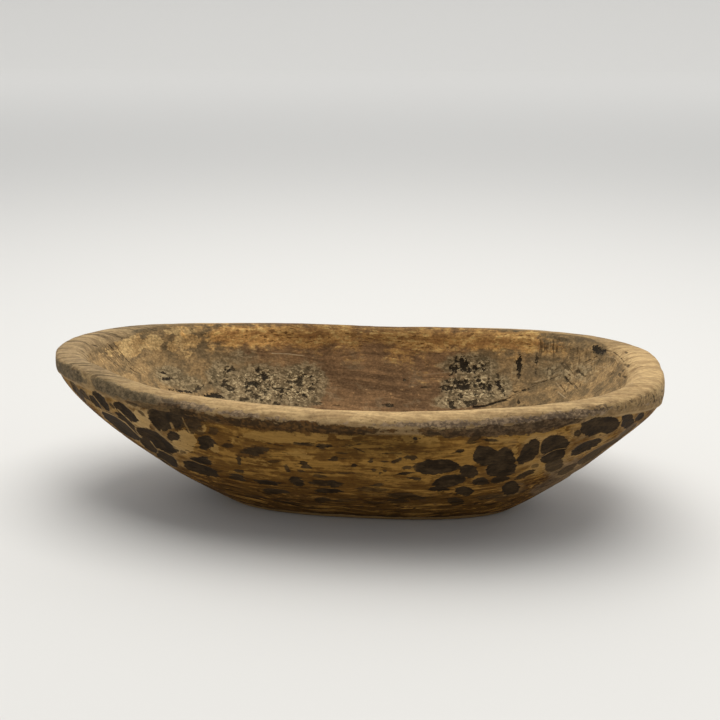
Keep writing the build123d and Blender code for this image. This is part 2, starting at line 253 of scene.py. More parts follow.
TORNS = [
    (2, 122.3, 115, 39.4, 25, -7, 1), (2, 110.1, 108.2, 30, 25.9, -1, 1), (2, 104.1, 97.7, 15.9, 12, -88, 0.6), (2, 130.9, 121.8, 24.3, 22.6, 22, 0.8),
    (2, 133.1, 102.9, 18.9, 17.7, 57, 0.7), (2, 124, 75.2, 29.9, 9.6, 0, 0.35), (2, 151.8, 105.3, 24.3, 14.9, -18, 0.5), (2, 147.2, 118.4, 20.2, 12.3, -22, 0.6),
    (2, 63.9, 78.1, 33.3, 13, 2, 0.95), (2, 59.7, 109.2, 39.2, 19.4, 5, 1), (2, 52.9, 109.6, 15.8, 14.4, -16, 0.8), (2, 62.5, 127.8, 26.1, 7.5, 4, 0.8),
    (2, 41.2, 83.2, 29.5, 15.2, -2, 0.35), (2, 31.1, 81.8, 24.4, 13.4, -12, 0.3), (2, 49.4, 85.8, 24.1, 17.7, 2, 0.25),
]

STROKES = [
    (2, 51.8, 78.7, 9.4, 2.6, -85, 1), (2, 50.4, 91.1, 4.8, 1.8, -70, 0.8), (2, 48.6, 69.1, 4.9, 1.6, -87, 0.9), (2, 46.8, 83.6, 3, 1, -80, 0.7),
    (2, 65.5, 78, 8.9, 3.3, -85, 1), (2, 67.1, 78.3, 7.1, 2.4, -87, 1), (2, 67.9, 80.8, 5.9, 3, -87, 1), (2, 62.5, 81.8, 4.8, 2.7, 2, 1),
    (2, 60.7, 79.6, 3.6, 3, -65, 1), (2, 63.8, 84.1, 3.6, 3.5, -38, 1), (2, 68, 98.1, 5.9, 1.3, 7, 0.9), (2, 65.4, 100.4, 6, 2.4, -83, 0.95),
    (2, 63.1, 102.7, 7.2, 6.6, -7, 1), (2, 59.8, 97.9, 3.6, 2, -89, 1), (2, 57.9, 107.4, 4.3, 3, -81, 1), (2, 55.9, 106.9, 6.1, 3, -83, 1),
    (2, 53.8, 104.6, 5.5, 3.8, -65, 1), (2, 51.2, 115.1, 3.8, 1.8, -63, 0.9), (2, 55.8, 92.6, 2.4, 1.8, -81, 0.8), (2, 66.7, 108.2, 7.1, 3.6, 3, 0.9),
    (2, 61.5, 124.8, 4.2, 1.8, -7, 0.8), (2, 57.6, 130.6, 8.2, 3.8, 21, 0.9), (2, 63, 131.9, 5.1, 4.1, -52, 0.95), (2, 53.6, 118.6, 2.4, 1.8, 0, 0.8),
    (2, 45.6, 111.8, 2.9, 1.5, 29, 0.9), (2, 47.4, 115.7, 2.4, 1.4, 22, 0.8), (2, 44.1, 129.6, 2.7, 1.5, -56, 0.9), (2, 130.3, 95.8, 3.7, 3.6, 59, 1),
    (2, 128.5, 92.2, 3.6, 2.5, -33, 0.9), (2, 133.5, 112.8, 6.4, 3, 72, 0.9), (2, 133.9, 122.6, 4.8, 2.6, -49, 0.8), (2, 142.7, 138, 10.2, 2.9, -14, 1),
    (2, 152.5, 130.3, 11.1, 2, -19, 1), (2, 153.6, 99.9, 3.7, 1.5, -18, 1), (2, 154.8, 109.9, 5.7, 1.5, -14, 1), (2, 146.4, 126.8, 6.9, 2.4, 25, 0.8),
    (2, 139.4, 116.3, 2.4, 1.7, -1, 0.7), (2, 120.9, 93.4, 4.8, 2.4, -62, 1), (2, 119.8, 99.6, 4.2, 3, -43, 1), (2, 126.5, 111.2, 3.7, 2.4, 31, 0.8),
    (2, 123.1, 112.5, 3.6, 1.9, -23, 0.8), (2, 119.7, 113.3, 6, 1.9, -32, 0.8), (2, 108.9, 96, 4.2, 1.8, 21, 0.9), (2, 110.4, 105.8, 5.4, 2.5, -21, 0.8),
    (2, 116.8, 119.6, 4.3, 2.4, -64, 0.9), (2, 118.1, 127.9, 4.5, 1.8, 79, 0.9), (2, 126.7, 134.1, 5.9, 2, -19, 0.8), (2, 121, 139.6, 4.2, 2, -25, 0.8),
    (2, 114.1, 137.2, 3.6, 1.6, -1, 0.8), (2, 113.1, 104.4, 3, 1.6, -11, 0.8), (2, 107, 110.6, 3, 1.6, 21, 0.7), (2, 110.5, 121.8, 3, 1.6, 0, 0.8),
    (2, 106.5, 129.3, 3.6, 1.5, 0, 0.7), (2, 128, 125.2, 3.6, 1.9, 9, 0.8), (2, 122.5, 125.2, 3.1, 1.8, -67, 0.8), (2, 132.4, 139.7, 5.3, 2, -16, 0.8),
    (2, 105.8, 83.4, 3, 1.2, 1, 0.5), (2, 82, 124.1, 4.8, 1.5, -6, 0.9), (2, 79.2, 92.8, 1.8, 1.4, 1, 0.9), (2, 72.5, 104.4, 4.2, 1.5, 2, 0.7),
    (2, 70.7, 54, 3.6, 1.3, 2, 0.5), (2, 100.5, 127.9, 4.8, 1.7, 1, 0.5), (1, 31.3, 50.8, 9.2, 3.5, -5, 1.3), (1, 18.1, 50.7, 5, 1.6, -4, 0.8),
    (1, 2.7, 61.5, 5, 1.4, 9, 0.7), (2, 354.2, 68.6, 6.4, 1.4, 14, 0.7), (2, 4.6, 69.6, 6.2, 1.2, 16, 0.6), (2, 12.9, 79.9, 4.3, 1.9, 16, 0.6),
    (2, 31.6, 84.3, 6.5, 1.2, -13, 0.7), (2, 35.1, 92.7, 4.4, 1.3, -34, 0.7), (2, 28.2, 104.9, 7.5, 1, -17, 0.7), (2, 38.6, 73.8, 5.4, 3.4, -17, 0.5),
    (2, 41.6, 82, 4.2, 3.7, 13, 0.5), (2, 29.4, 65.7, 5.5, 2.7, 23, 0.45), (2, 62, 86, 3.6, 1.8, -86, 0.9), (2, 51.5, 112.8, 3.7, 1.8, -68, 0.9),
    (2, 61.8, 119.5, 3, 2.4, -22, 0.9),
]

LINES = [
    (0.9, [(272.9, -11.8), (274, -15.1), (276.3, -21)]),
    (0.8, [(273.1, -15.5), (274.4, -13.2), (275.7, -10.7)]),
    (0.6, [(265, -13.1), (267.1, -14.5), (270.2, -15.6)]),
    (1, [(330.8, 16), (331.5, 8.4)]),
    (1, [(325.1, 13.4), (325.2, 9.3)]),
    (1, [(336.3, 8.3), (336.8, 3.7)]),
    (1, [(319.2, 8.6), (319.3, 6.2)]),
    (0.6, [(328.4, 16.4), (328.8, 11.3)]),
    (0.7, [(234.5, -154.8), (255.5, -145.8), (281.5, -141.2), (304, -158.9)]),
    (2.8, [(55.9, 138.2), (53, 137.1), (50.4, 131.4), (48.1, 126.4)]),
    (0.7, [(48.1, 126.4), (47.7, 121.1), (45.1, 111.8), (42.5, 101.1), (40.7, 94.8), (38, 85.6)]),
    (1.1, [(139.7, 131.2), (138.8, 138.7)]),
    (0.9, [(167.2, 53.5), (166.3, 59.7), (166.2, 68.7), (166.5, 78.8), (166.2, 88.6), (164.9, 97.9)]),
    (0.7, [(164.3, 52.6), (164, 61.5), (164.3, 74.7), (164, 85.5), (162.5, 97)]),
    (0.6, [(171.1, 60.1), (171.5, 69.9), (171.2, 80.7), (169.9, 90.7)]),
    (0.6, [(39.7, 71.2), (35.6, 82.1), (31.3, 93.7)]),
    (0.8, [(259, -17.5), (260.5, -18.3), (261.7, -19.1)]),
    (1, [(263.9, -13.5), (265.5, -14.2), (267.1, -14.5)]),
    (1.3, [(267.9, -16.4), (269.1, -16.5), (270.2, -15.1)]),
    (0.7, [(270.2, -16.1), (272, -15.8), (274, -12.5)]),
    (0.9, [(269.2, -55.4), (271.9, -53), (274.8, -52.7)]),
    (0.8, [(279.4, -22.8), (281.1, -21.5), (282.8, -22.2)]),
    (0.6, [(261.1, -28.1), (262.6, -28)]),
    (0.6, [(256.6, -39.4), (258.7, -36.2)]),
    (0.6, [(271.9, -30.9), (274.1, -29.4)]),
    (0.5, [(274, -7.4), (275.4, -8.7), (277.4, -7.8)]),
    (0.6, [(279.5, -13.3), (281.3, -15.6), (282.2, -14.7)]),
    (1, [(282.5, -54.8), (284.9, -53.4)]),
    (0.7, [(261.4, -88), (266, -82.7), (270.3, -82.6)]),
    (0.7, [(246.9, -103.6), (252.1, -100.9)]),
    (0.8, [(273.8, -97.8), (278.5, -94.2), (283.1, -96.3)]),
    (0.8, [(267, -129.6), (273.6, -128), (281, -124.7)]),
    (0.7, [(247.8, -135.1), (257.3, -132.1), (267.2, -126.7)]),
    (0.8, [(290.6, -119.1), (295.4, -121.7), (300.1, -129.1)]),
    (0.7, [(291.7, -101.8), (295.7, -103.8)]),
    (1, [(302.3, -139.7), (310.7, -150.3), (318.8, -152.5), (324.7, -146.6)]),
    (0.7, [(305.3, -129.7), (310.7, -133.4), (314.5, -131.3)]),
    (0.8, [(290.6, -24.2), (292.1, -22), (293.4, -21.2)]),
    (0.7, [(293.7, -10.9), (295.5, -9.3)]),
    (0.9, [(322.5, -129.5), (326, -118.3), (327.8, -103.4)]),
    (0.9, [(319.8, -95.7), (321.7, -80.6), (324.4, -65.4)]),
    (0.8, [(320.9, -50.9), (323.8, -40.9), (326.8, -29.3)]),
    (0.8, [(33.8, 67), (32.4, 62.1), (30.4, 58.2)]),
    (0.9, [(36.6, 89.1), (34.1, 95.6), (28.1, 106.2)]),
    (0.8, [(35.5, 102.1), (30.9, 112.7)]),
    (0.6, [(37.6, 82.5), (34.5, 88.8)]),
    (0.7, [(44, 78.1), (42.4, 89.6)]),
    (0.7, [(45, 103.6), (42.8, 100), (41.2, 95.3)]),
    (0.9, [(44.8, 112.9), (43.9, 109)]),
    (0.8, [(27.6, 99.9), (26.3, 104.4)]),
    (0.7, [(29.8, 51), (24.9, 53.2), (17.3, 59.9), (10.5, 62.6)]),
    (0.5, [(20.8, 62.8), (16.1, 68.4)]),
    (0.7, [(12.6, 89.1), (9.9, 82.1)]),
    (0.9, [(11.4, 110.1), (9.7, 99.5)]),
    (0.5, [(14.4, 78.7), (15.2, 70.8)]),
    (0.8, [(331.1, 15.2), (332, 7.7)]),
    (0.7, [(324.9, 13), (325.2, 8.7)]),
    (0.7, [(335.6, 8.6), (337.1, 4)]),
    (0.8, [(329.4, -2.2), (332.7, 0.9)]),
    (0.7, [(168.5, 59.9), (168.3, 68.1), (168.6, 77.5), (168.5, 86.9)]),
    (0.7, [(173.1, 61.7), (173.1, 68.8), (172.6, 77.5), (172.5, 88.4)]),
    (0.5, [(179, 64.3), (178.5, 73.6), (177.6, 85)]),
    (0.5, [(167.1, 64.7), (167.3, 75.8), (166.5, 86.2)]),
    (0.9, [(176, 50.4), (173.6, 53.7)]),
    (0.7, [(183.1, 55.1), (183.7, 60)]),
]

LIGHTS = [
    (1, [(114.6, 67.3), (110.4, 67), (106.3, 68.1)]),
    (0.3, [(74.3, 87.9), (70.4, 86.2), (67.6, 84.8)]),
    (0.6, [(38.5, 79.1), (32.2, 90.4)]),
    (0.8, [(29.8, 103.1), (27.6, 106.2)]),
    (0.7, [(33.8, 112.7), (27.4, 122.4)]),
    (0.5, [(32.6, 70.1), (29.6, 62.6)]),
    (0.5, [(38.1, 97.5), (33, 109.6)]),
    (0.45, [(26.8, 58.9), (21.6, 61), (15.5, 66.7)]),
    (0.5, [(44.8, 99.1), (42.3, 93.9)]),
    (0.45, [(26.9, 73), (22.1, 74.1), (20.9, 68.2)]),
]

RIDGES = [
    (0.6, [(218.5, -8.1), (218.9, -15.5), (219.2, -22.9)]),
    (1, [(215.9, -25.8), (221.4, -26.9), (222.6, -27.6), (224.7, -33.9), (225, -47.7), (225.6, -52.9)]),
    (0.6, [(225.9, -13.7), (226.9, -22.3), (228.5, -30.4)]),
    (0.6, [(227.5, -57.1), (227.1, -67.6), (229.6, -67.8)]),
    (0.7, [(228.7, -66.2), (229.8, -72.4), (231.9, -73.5)]),
    (0.8, [(215.6, -102.7), (219, -104.7), (219.3, -122.3)]),
    (0.6, [(237.2, -67.4), (238.5, -73.9), (242.7, -72.3)]),
    (0.55, [(243.3, -1.7), (243.5, -8), (243.6, -18)]),
    (1.2, [(239.8, -12.7), (239.9, -21.1)]),
    (0.6, [(236.1, -25.5), (236.1, -37.8)]),
    (1.6, [(232.1, -10), (234.2, -21.8), (235.4, -34.7), (236.4, -46.2)]),
    (0.5, [(305.9, -20.9), (307, -35), (308.5, -47.6)]),
    (0.4, [(308.6, -47.8), (310.7, -43.9), (313, -39.5)]),
    (1, [(315, -28.9), (319, -25.2), (323.7, -32.7), (327, -26.8)]),
    (0.8, [(323.2, -22.1), (321.7, -9.4)]),
    (0.6, [(329.3, -23.6), (330, -13.6)]),
    (0.8, [(318.6, -67.1), (321.5, -59.6), (325, -53.7)]),
]

# strips that run along the rim: (angle, lowest and highest mm along the profile, strength)
# BAND: dark soiling about its lower edge; FACE: the grey, handled wood above that, its grey darkened further as painted
# shade on the rim's upright face
BAND = [
    (222, -3, 3, 0.0), (229, -3, 4, 0.5), (234, -4, 8, 0.8), (240, -4, 11, 1.0), (245, -4, 11, 1.0), (250, -3, 10, 0.9), (255, -3, 10, 1.0), (260, -3, 10, 1.0),
    (265, -3, 9.5, 1.0), (270, -2, 9, 1.0), (275, -2, 8.5, 0.9), (280, 0, 8, 0.75), (285, 0, 8, 0.75), (290, -4, 7, 0.9), (295, -5, 8, 1.0), (300, -5, 9, 1.0),
    (304, -5, 9, 1.0), (308, -3, 8, 0.9), (311, -2, 7, 0.65), (316, -1, 5, 0.4), (323, 0, 5, 0.0),
]
FACE = [
    (180, 1, 14, 0.5), (190, 1, 15, 0.8), (205, 0, 16, 1.0), (214.5, 0, 17, 1.0), (216.5, 2, 16, 0.45), (219.5, 4, 17, 0.45), (221.5, 2, 18, 1.0), (230, 3, 17, 1.0), (236, 5, 16.5, 1.0),
    (242, 7, 17, 1.0), (246, 7, 17, 1.0), (250, 8, 15, 0.7), (254, 7, 15, 0.9), (258, 7, 14.5, 0.85), (264, 6, 12.5, 0.75), (270, 6, 12, 0.7), (276, 6, 12, 0.7), (282, 6, 14, 0.8),
    (288, 6, 15, 0.85), (294, 6, 15, 0.85), (300, 5, 16, 0.85), (306, 4, 16, 0.85), (311, 3, 15, 0.85), (316, 3, 14, 0.7), (322, 3, 12, 0.6), (330, 3, 12, 0.5), (345, 3, 12, 0.45), (360, 3, 12, 0.45),
]

# close ripples that the adze left across the grain
CHATTERS = [
    (2, 47.5, 50, 30, 15, 0, 1), (2, 38, 66, 28, 22, -15, 0.8), (2, 29, 84, 22, 20, -20, 0.7), (2, 18, 74, 26, 16, 0, 0.5), (2, 52, 90, 20, 24, 0, 0.4),
    (2, 152, 70, 26, 18, 0, 0.5), (2, 165, 78, 24, 26, 0, 0.6), (2, 142, 96, 22, 18, 0, 0.4), (2, 350, 80, 30, 20, 0, 0.5),
]

# marks on the sides that the reference view doesn't show: the same habits of the tools, on seeded places
rng = np.random.default_rng(20)


def echoed(marks, keep, turn_by, slide):
    """Marks of the same kind on the opposite side, each moved, turned and resized a little."""
    out = []
    for side, angle, prof, a, b, turn, k in marks:
        if rng.random() < keep:
            out.append((side, (360 - angle + rng.uniform(-turn_by, turn_by)) % 360, prof + rng.uniform(-slide, slide),
                        a * rng.uniform(0.75, 1.2), b * rng.uniform(0.8, 1.2), rng.uniform(-25, 25) - turn, k * rng.uniform(0.8, 1.0)))
    return out


seen_scoops = list(SCOOPS)
SCOOPS += echoed(seen_scoops, 0.8, 7, 12)
for lo, hi, count in ((338, 388, 16), (148, 211, 26)):          # round the two tips
    for _ in range(count):
        a = rng.uniform(5, 17)
        SCOOPS.append((0, rng.uniform(lo, hi) % 360, -rng.uniform(8, 110), a, a * rng.uniform(0.4, 0.75), rng.uniform(-60, 60), rng.uniform(0.75, 1)))
STAINS += echoed([m for m in STAINS], 0.8, 8, 6)
GREYS += echoed([m for m in GREYS if 205 < m[1] < 325], 0.8, 8, 3)
BARES += echoed([m for m in BARES if m[0] != 1], 0.9, 8, 5)
GOLDS += echoed([m for m in GOLDS if m[0] == 2], 0.9, 8, 5)
TORNS += echoed([m for m in TORNS], 0.9, 9, 9)
STROKES += echoed([m for m in STROKES if m[0] == 2], 0.75, 9, 10)


# ------------------------------------------------------------------ shape: hewn wobble, scoops, torn grain
def lattice(p, seed):
    """Smooth value noise, -1 to 1."""
    q = np.floor(p).astype(np.int64)
    f = p - q
    f = f * f * f * (f * (f * 6 - 15) + 10)

    def at(dx, dy, dz):
        h = ((q[..., 0] + dx) * 374761393 + (q[..., 1] + dy) * 668265263 + (q[..., 2] + dz) * 2147483647 + seed * 974634777) & 0xFFFFFFFF
        h = ((h ^ (h >> 13)) * 1274126177) & 0xFFFFFFFF
        h = ((h ^ (h >> 16)) * 2246822519) & 0xFFFFFFFF
        return (h ^ (h >> 15)) / 2147483647.5 - 1

    def mix(a, b, t):
        return a + (b - a) * t

    x0 = mix(mix(at(0, 0, 0), at(1, 0, 0), f[..., 0]), mix(at(0, 1, 0), at(1, 1, 0), f[..., 0]), f[..., 1])
    x1 = mix(mix(at(0, 0, 1), at(1, 0, 1), f[..., 0]), mix(at(0, 1, 1), at(1, 1, 1), f[..., 0]), f[..., 1])
    return mix(x0, x1, f[..., 2])


def smooth(x, lo, hi):
    t = np.clip((x - lo) / (hi - lo), 0, 1)
    return t * t * (3 - 2 * t)


FLAT = P.reshape(-1, 3)
SIDES = np.repeat(side_of, COLS)
PROF_FLAT = PROF.reshape(-1)
RIM_END = np.repeat(PROF[INNER][None, :], ROWS, 0).reshape(-1)      # the profile length at which the rim ends
placed = {}


def place(mark):
    key = mark[:6]
    if key not in placed:
        side, angle, prof, a, b, turn, _ = mark
        p, e1, e2, n = spot(angle, prof, side)
        c, s = math.cos(math.radians(turn)), math.sin(math.radians(turn))
        placed[key] = (p, e1 * c + e2 * s, e2 * c - e1 * s, n)
    return placed[key]


def near(points, normals, mark, reach):
    """Which points lie round a mark on the same skin, with their coordinates along and across it in mm."""
    p, ea, eb, n = place(mark)
    d = points - p
    ok = np.where((np.abs(d) < reach).all(1))[0]
    ok = ok[(normals[ok] @ n) > 0.2]
    return ok, d[ok] @ ea, d[ok] @ eb


NORMAL_FLAT = NORMAL.reshape(-1, 3)


def soft(marks, hard=0.55):
    """A soft field from a list of oval marks, 0 to 1 at each point."""
    field = np.zeros(len(FLAT))
    for m in marks:
        ok, a, b = near(FLAT, NORMAL_FLAT, m, m[3] * 1.7 + 8)
        r = np.hypot(a / m[3], b / (m[4] + 1.0))
        field[ok] = np.maximum(field[ok], m[6] * smooth(r, 1.45, hard))
    return field


def side_mask(test):
    return np.repeat(test, COLS)


outside = 1 - smooth(PROF_FLAT, -2.0, 3.0)
inside = smooth(PROF_FLAT - RIM_END, -7.0, 7.0)
on_rim = np.clip(1 - outside - inside, 0, 1)
tall_in = np.abs(FLAT[:, 0]) / HALF

rise = 0.9 * lattice(FLAT / (95.0, 80.0, 80.0), 1) + 0.45 * lattice(FLAT / (46.0, 30.0, 30.0), 2)
rise *= 1 - 0.25 * on_rim
# long shallow cuts of the axe on the flank and of the adze inside
rise += outside * 0.28 * lattice(FLAT / (38.0, 13.0, 15.0), 3)
rise += inside * (0.45 * lattice(FLAT / (34.0, 16.0, 16.0), 4) + 0.25 * lattice(FLAT / (12.0, 9.0, 9.0), 5) * (0.3 + 0.7 * smooth(tall_in, 0.3, 0.7)))
rise += on_rim * (0.35 * lattice(FLAT / (30.0, 14.0, 14.0), 6) + 0.16 * lattice(FLAT / (10.0, 7.0, 7.0), 7))
torn = soft(TORNS, 0.4)
rise += torn * inside * (0.45 * lattice(FLAT / (13.0, 6.5, 6.5), 8) - 0.25)
# under the rim's lower edge the flank is cut back a little, most at the ends
cut_back = smooth(tall_in, 0.45, 0.85)
rise -= (PROF_FLAT <= 0.01) * (0.3 + 1.3 * cut_back) * np.exp(np.minimum(PROF_FLAT + 2.5, 0) / 7.0) * smooth(PROF_FLAT, 0.01, -2.5)
for m in SCOOPS:
    if m[4] >= 2.4:
        ok, a, b = near(FLAT, NORMAL_FLAT, m, m[3] * 1.4 + 4)
        r = np.hypot(a / (m[3] + 0.8), b / (m[4] + 0.8))
        depth = min(1.9, 0.35 + 0.13 * m[4]) * m[6]
        rise[ok] -= depth * np.clip(1 - r * r, 0, 1) ** 0.9
for m in STROKES:
    ok, a, b = near(FLAT, NORMAL_FLAT, m, m[3] * 1.4 + 4)
    r = np.hypot(a / (m[3] + 1.0), b / (m[4] + 1.2))
    rise[ok] -= 0.6 * m[6] * np.clip(1 - r * r, 0, 1)
# the foot stands flat: only hollows are cut into its middle
flat_foot = smooth(FLAT[:, 2], 6.0, 0.5) * (SIDES == 0)
foot_in = smooth((PROF[DISC][None, :] - PROF).reshape(-1), 0.0, 30.0)
rise = rise * (1 - flat_foot) - 0.35 * foot_in * (1 + lattice(FLAT / (60.0, 34.0, 40.0), 9))
SKIN = FLAT + NORMAL_FLAT * rise[:, None]
SKIN[:, 2] = np.maximum(SKIN[:, 2], 0.0)

# ------------------------------------------------------------------ mesh
quads, corners_uv = [], []
cols = np.arange(COLS)
nxt = (cols + 1) % COLS
j = np.arange(ROWS - 1)[:, None]
quad = np.stack([j * COLS + cols, j * COLS + nxt, (j + 1) * COLS + nxt, (j + 1) * COLS + cols], 2).reshape(-1, 4)
foot_c, well_c = len(SKIN), len(SKIN) + 1
verts = np.vstack([SKIN, [foot_mid[0], foot_mid[1], 0.3], [well_mid[0], well_mid[1], SKIN[-COLS:, 2].mean()]])
fan_foot = np.stack([np.full(COLS, foot_c), nxt, cols], 1)
last = (ROWS - 1) * COLS
fan_well = np.stack([np.full(COLS, well_c), last + cols, last + nxt], 1)

mesh = bpy.data.meshes.new("bowl_skin")
loops = np.concatenate([quad.reshape(-1), fan_foot.reshape(-1), fan_well.reshape(-1)]).astype(np.int32)
sizes = np.concatenate([np.full(len(quad), 4), np.full(2 * COLS, 3)]).astype(np.int32)
starts = np.concatenate([[0], np.cumsum(sizes)[:-1]]).astype(np.int32)
mesh.vertices.add(len(verts))
mesh.vertices.foreach_set("co", (verts / 1000).astype(np.float32).reshape(-1))
mesh.loops.add(len(loops))
mesh.loops.foreach_set("vertex_index", loops)
mesh.polygons.add(len(sizes))
mesh.polygons.foreach_set("loop_start", starts)
mesh.polygons.foreach_set("use_smooth", np.ones(len(sizes), bool))
mesh.update(calc_edges=True)

# the rim's lower edge is crisp round the two ends
ends_vert = np.zeros((len(mesh.edges), 2), np.int32)
mesh.edges.foreach_get("vertices", ends_vert.reshape(-1))
on_edge = (ends_vert // COLS == ARRIS).all(1)
crisp = on_edge & (np.abs(verts[np.minimum(ends_vert[:, 0], len(verts) - 1), 0]) > 0.62 * HALF)
mesh.attributes.new("sharp_edge", "BOOLEAN", "EDGE").data.foreach_set("value", crisp)

# one flat map of the skin for baking: front half, back half, foot and well, with no overlap
mean_run = (run - run[DISC]).mean(1)
mean_run = np.clip(mean_run / mean_run[WELL], 0, 1)
uv = np.zeros((len(loops), 2), np.float32)
col_of_quad = np.tile(cols, ROWS - 1)
row_of_quad = np.repeat(np.arange(ROWS - 1), COLS)
half = COLS // 2
for corner, (dj, di) in enumerate(((0, 0), (0, 1), (1, 1), (1, 0))):
    front = col_of_quad >= half
    along = (col_of_quad - np.where(front, half, 0) + di) / half
    uv[corner:4 * len(quad):4, 0] = 0.006 + 0.988 * along
    uv[corner:4 * len(quad):4, 1] = np.where(front, 0.004, 0.439) + 0.427 * mean_run[row_of_quad + dj]
disc_loop = np.ones(len(loops), bool)
disc_loop[:4 * len(quad)] = np.repeat((row_of_quad < DISC) | (row_of_quad >= WELL), 4)
foot_loop = disc_loop.copy()
foot_loop[:4 * len(quad)] &= np.repeat(row_of_quad < DISC, 4)
foot_loop[4 * len(quad) + 3 * COLS:] = False
well_loop = disc_loop & ~foot_loop
lv = verts[loops]
for chosen, lo, hi in ((foot_loop, (0.01, 0.875), (0.56, 0.996)), (well_loop, (0.58, 0.875), (0.99, 0.996))):
    xy = lv[chosen][:, :2]
    a, b = xy.min(0), xy.max(0)
    uv[chosen] = np.array(lo) + (xy - a) / (b - a) * (np.array(hi) - np.array(lo))
layer = mesh.uv_layers.new(name="OFBake")
layer.data.foreach_set("uv", uv.reshape(-1))

# ------------------------------------------------------------------ what the material reads from the skin
extra = 2       # the two middle points


def point_value(name, values):
    values = np.concatenate([values, [values[:COLS].mean(), values[-COLS:].mean()]]).astype(np.float32)
    mesh.attributes.new(name, "FLOAT", "POINT").data.foreach_set("value", values)


point_value("prof", PROF_FLAT)
point_value("rim_left", PROF_FLAT - RIM_END)
point_value("outside", outside)
# on the far side the hollow's colours reach up over the rim's round to its crest
far_up = np.tile(20.0 * smooth(np.abs((ANGLE - 90 + 180) % 360 - 180), 72.0, 45.0), ROWS)
point_value("inside", smooth(PROF_FLAT - RIM_END + far_up, -7.0, 7.0))
point_value("stain", soft(STAINS, 0.35))
point_value("grey", soft(GREYS, 0.5))
point_value("bare", soft(BARES, 0.35))
point_value("gold", soft(GOLDS, 0.3))
point_value("torn", torn)
point_value("chatter", soft(CHATTERS, 0.3))


def strip(name, table):
    """Depth in mm inside a strip along the rim, less where it is weak. The back has the front's strip, slid along."""
    t = np.array(table, float)
    at = np.where(ANGLE < 180, 360 - ANGLE + 9 * np.sin(np.radians(ANGLE)), ANGLE)
    lo, hi, k = (np.interp(at, t[:, 0], t[:, c]) for c in (1, 2, 3))
    point_value(name, (np.minimum(PROF - lo, hi - PROF) - 8 * (1 - k)).reshape(-1))


strip("band", BAND)
strip("face", FACE)

# Each face knows the nearest mark of every channel, in that mark's own coordinates, so that even narrow cuts have sharp sides.
# Marks that lie close together go to different channels, so that the wood between them stays.
centre = np.vstack([verts[quad].mean(1), verts[fan_foot].mean(1), verts[fan_well].mean(1)])
fn = np.vstack([NORMAL_FLAT[quad[:, 0]], np.tile([0, 0, -1.0], (COLS, 1)), np.tile([0, 0, 1.0], (COLS, 1))])
face_of_loop = np.repeat(np.arange(len(sizes)), sizes)


def outline(m):
    p, ea, eb, n = place(m)
    t = np.linspace(0, 2 * np.pi, 20, endpoint=False)[:, None]
    return p + ea * m[3] * np.cos(t) + eb * m[4] * np.sin(t)


def channels(marks, count):
    rings = [outline(m) for m in marks]
    mids = np.array([place(m)[0] for m in marks])
    where, sets = [], [[] for _ in range(count)]
    for k, m in enumerate(marks):
        best, room = 0, -1.0
        for c in range(count):
            gap = 1e9
            for o in sets[c]:
                if np.linalg.norm(mids[o] - mids[k]) < m[3] + marks[o][3] + 14:
                    gap = min(gap, np.linalg.norm(rings[k][:, None] - rings[o][None], axis=2).min())
            if gap > 9.0:
                best, room = c, 1e9
                break
            if gap > room:
                best, room = c, gap
        sets[best].append(k)
    return [[marks[k] for k in s] for s in sets]


def mark_channel(name, marks):
    """Corner values: place along and across the nearest mark in its own half sizes, its strength, and its half width in mm."""
    best = np.full(len(sizes), 1e9)
    which = np.full(len(sizes), -1)
    for k, m in enumerate(marks):
        ok, a, b = near(centre, fn, m, m[3] + 16)
        gap = (np.hypot(a / m[3], b / m[4]) - 1) * m[4]
        better = gap < best[ok]
        best[ok[better]] = gap[better]
        which[ok[better]] = k
    values = np.full((len(loops), 3), 50.0, np.float32)
    values[:, 2] = 0.0
    width = np.full(len(loops), 3.0, np.float32)
    lw = which[face_of_loop]
    for k, m in enumerate(marks):
        sel = np.where(lw == k)[0]
        p, ea, eb, n = place(m)
        d = lv[sel] - p
        values[sel, 0], values[sel, 1], values[sel, 2] = d @ ea / m[3], d @ eb / m[4], m[6]
        width[sel] = m[4]
    mesh.attributes.new(name, "FLOAT_VECTOR", "CORNER").data.foreach_set("vector", values.reshape(-1))
    mesh.attributes.new(name + "_w", "FLOAT", "CORNER").data.foreach_set("value", width)


CHANNELS = 4
outer, inner = channels(SCOOPS, CHANNELS), channels(STROKES, CHANNELS)
for c in range(CHANNELS):
    mark_channel("cut%d" % c, outer[c] + inner[c])


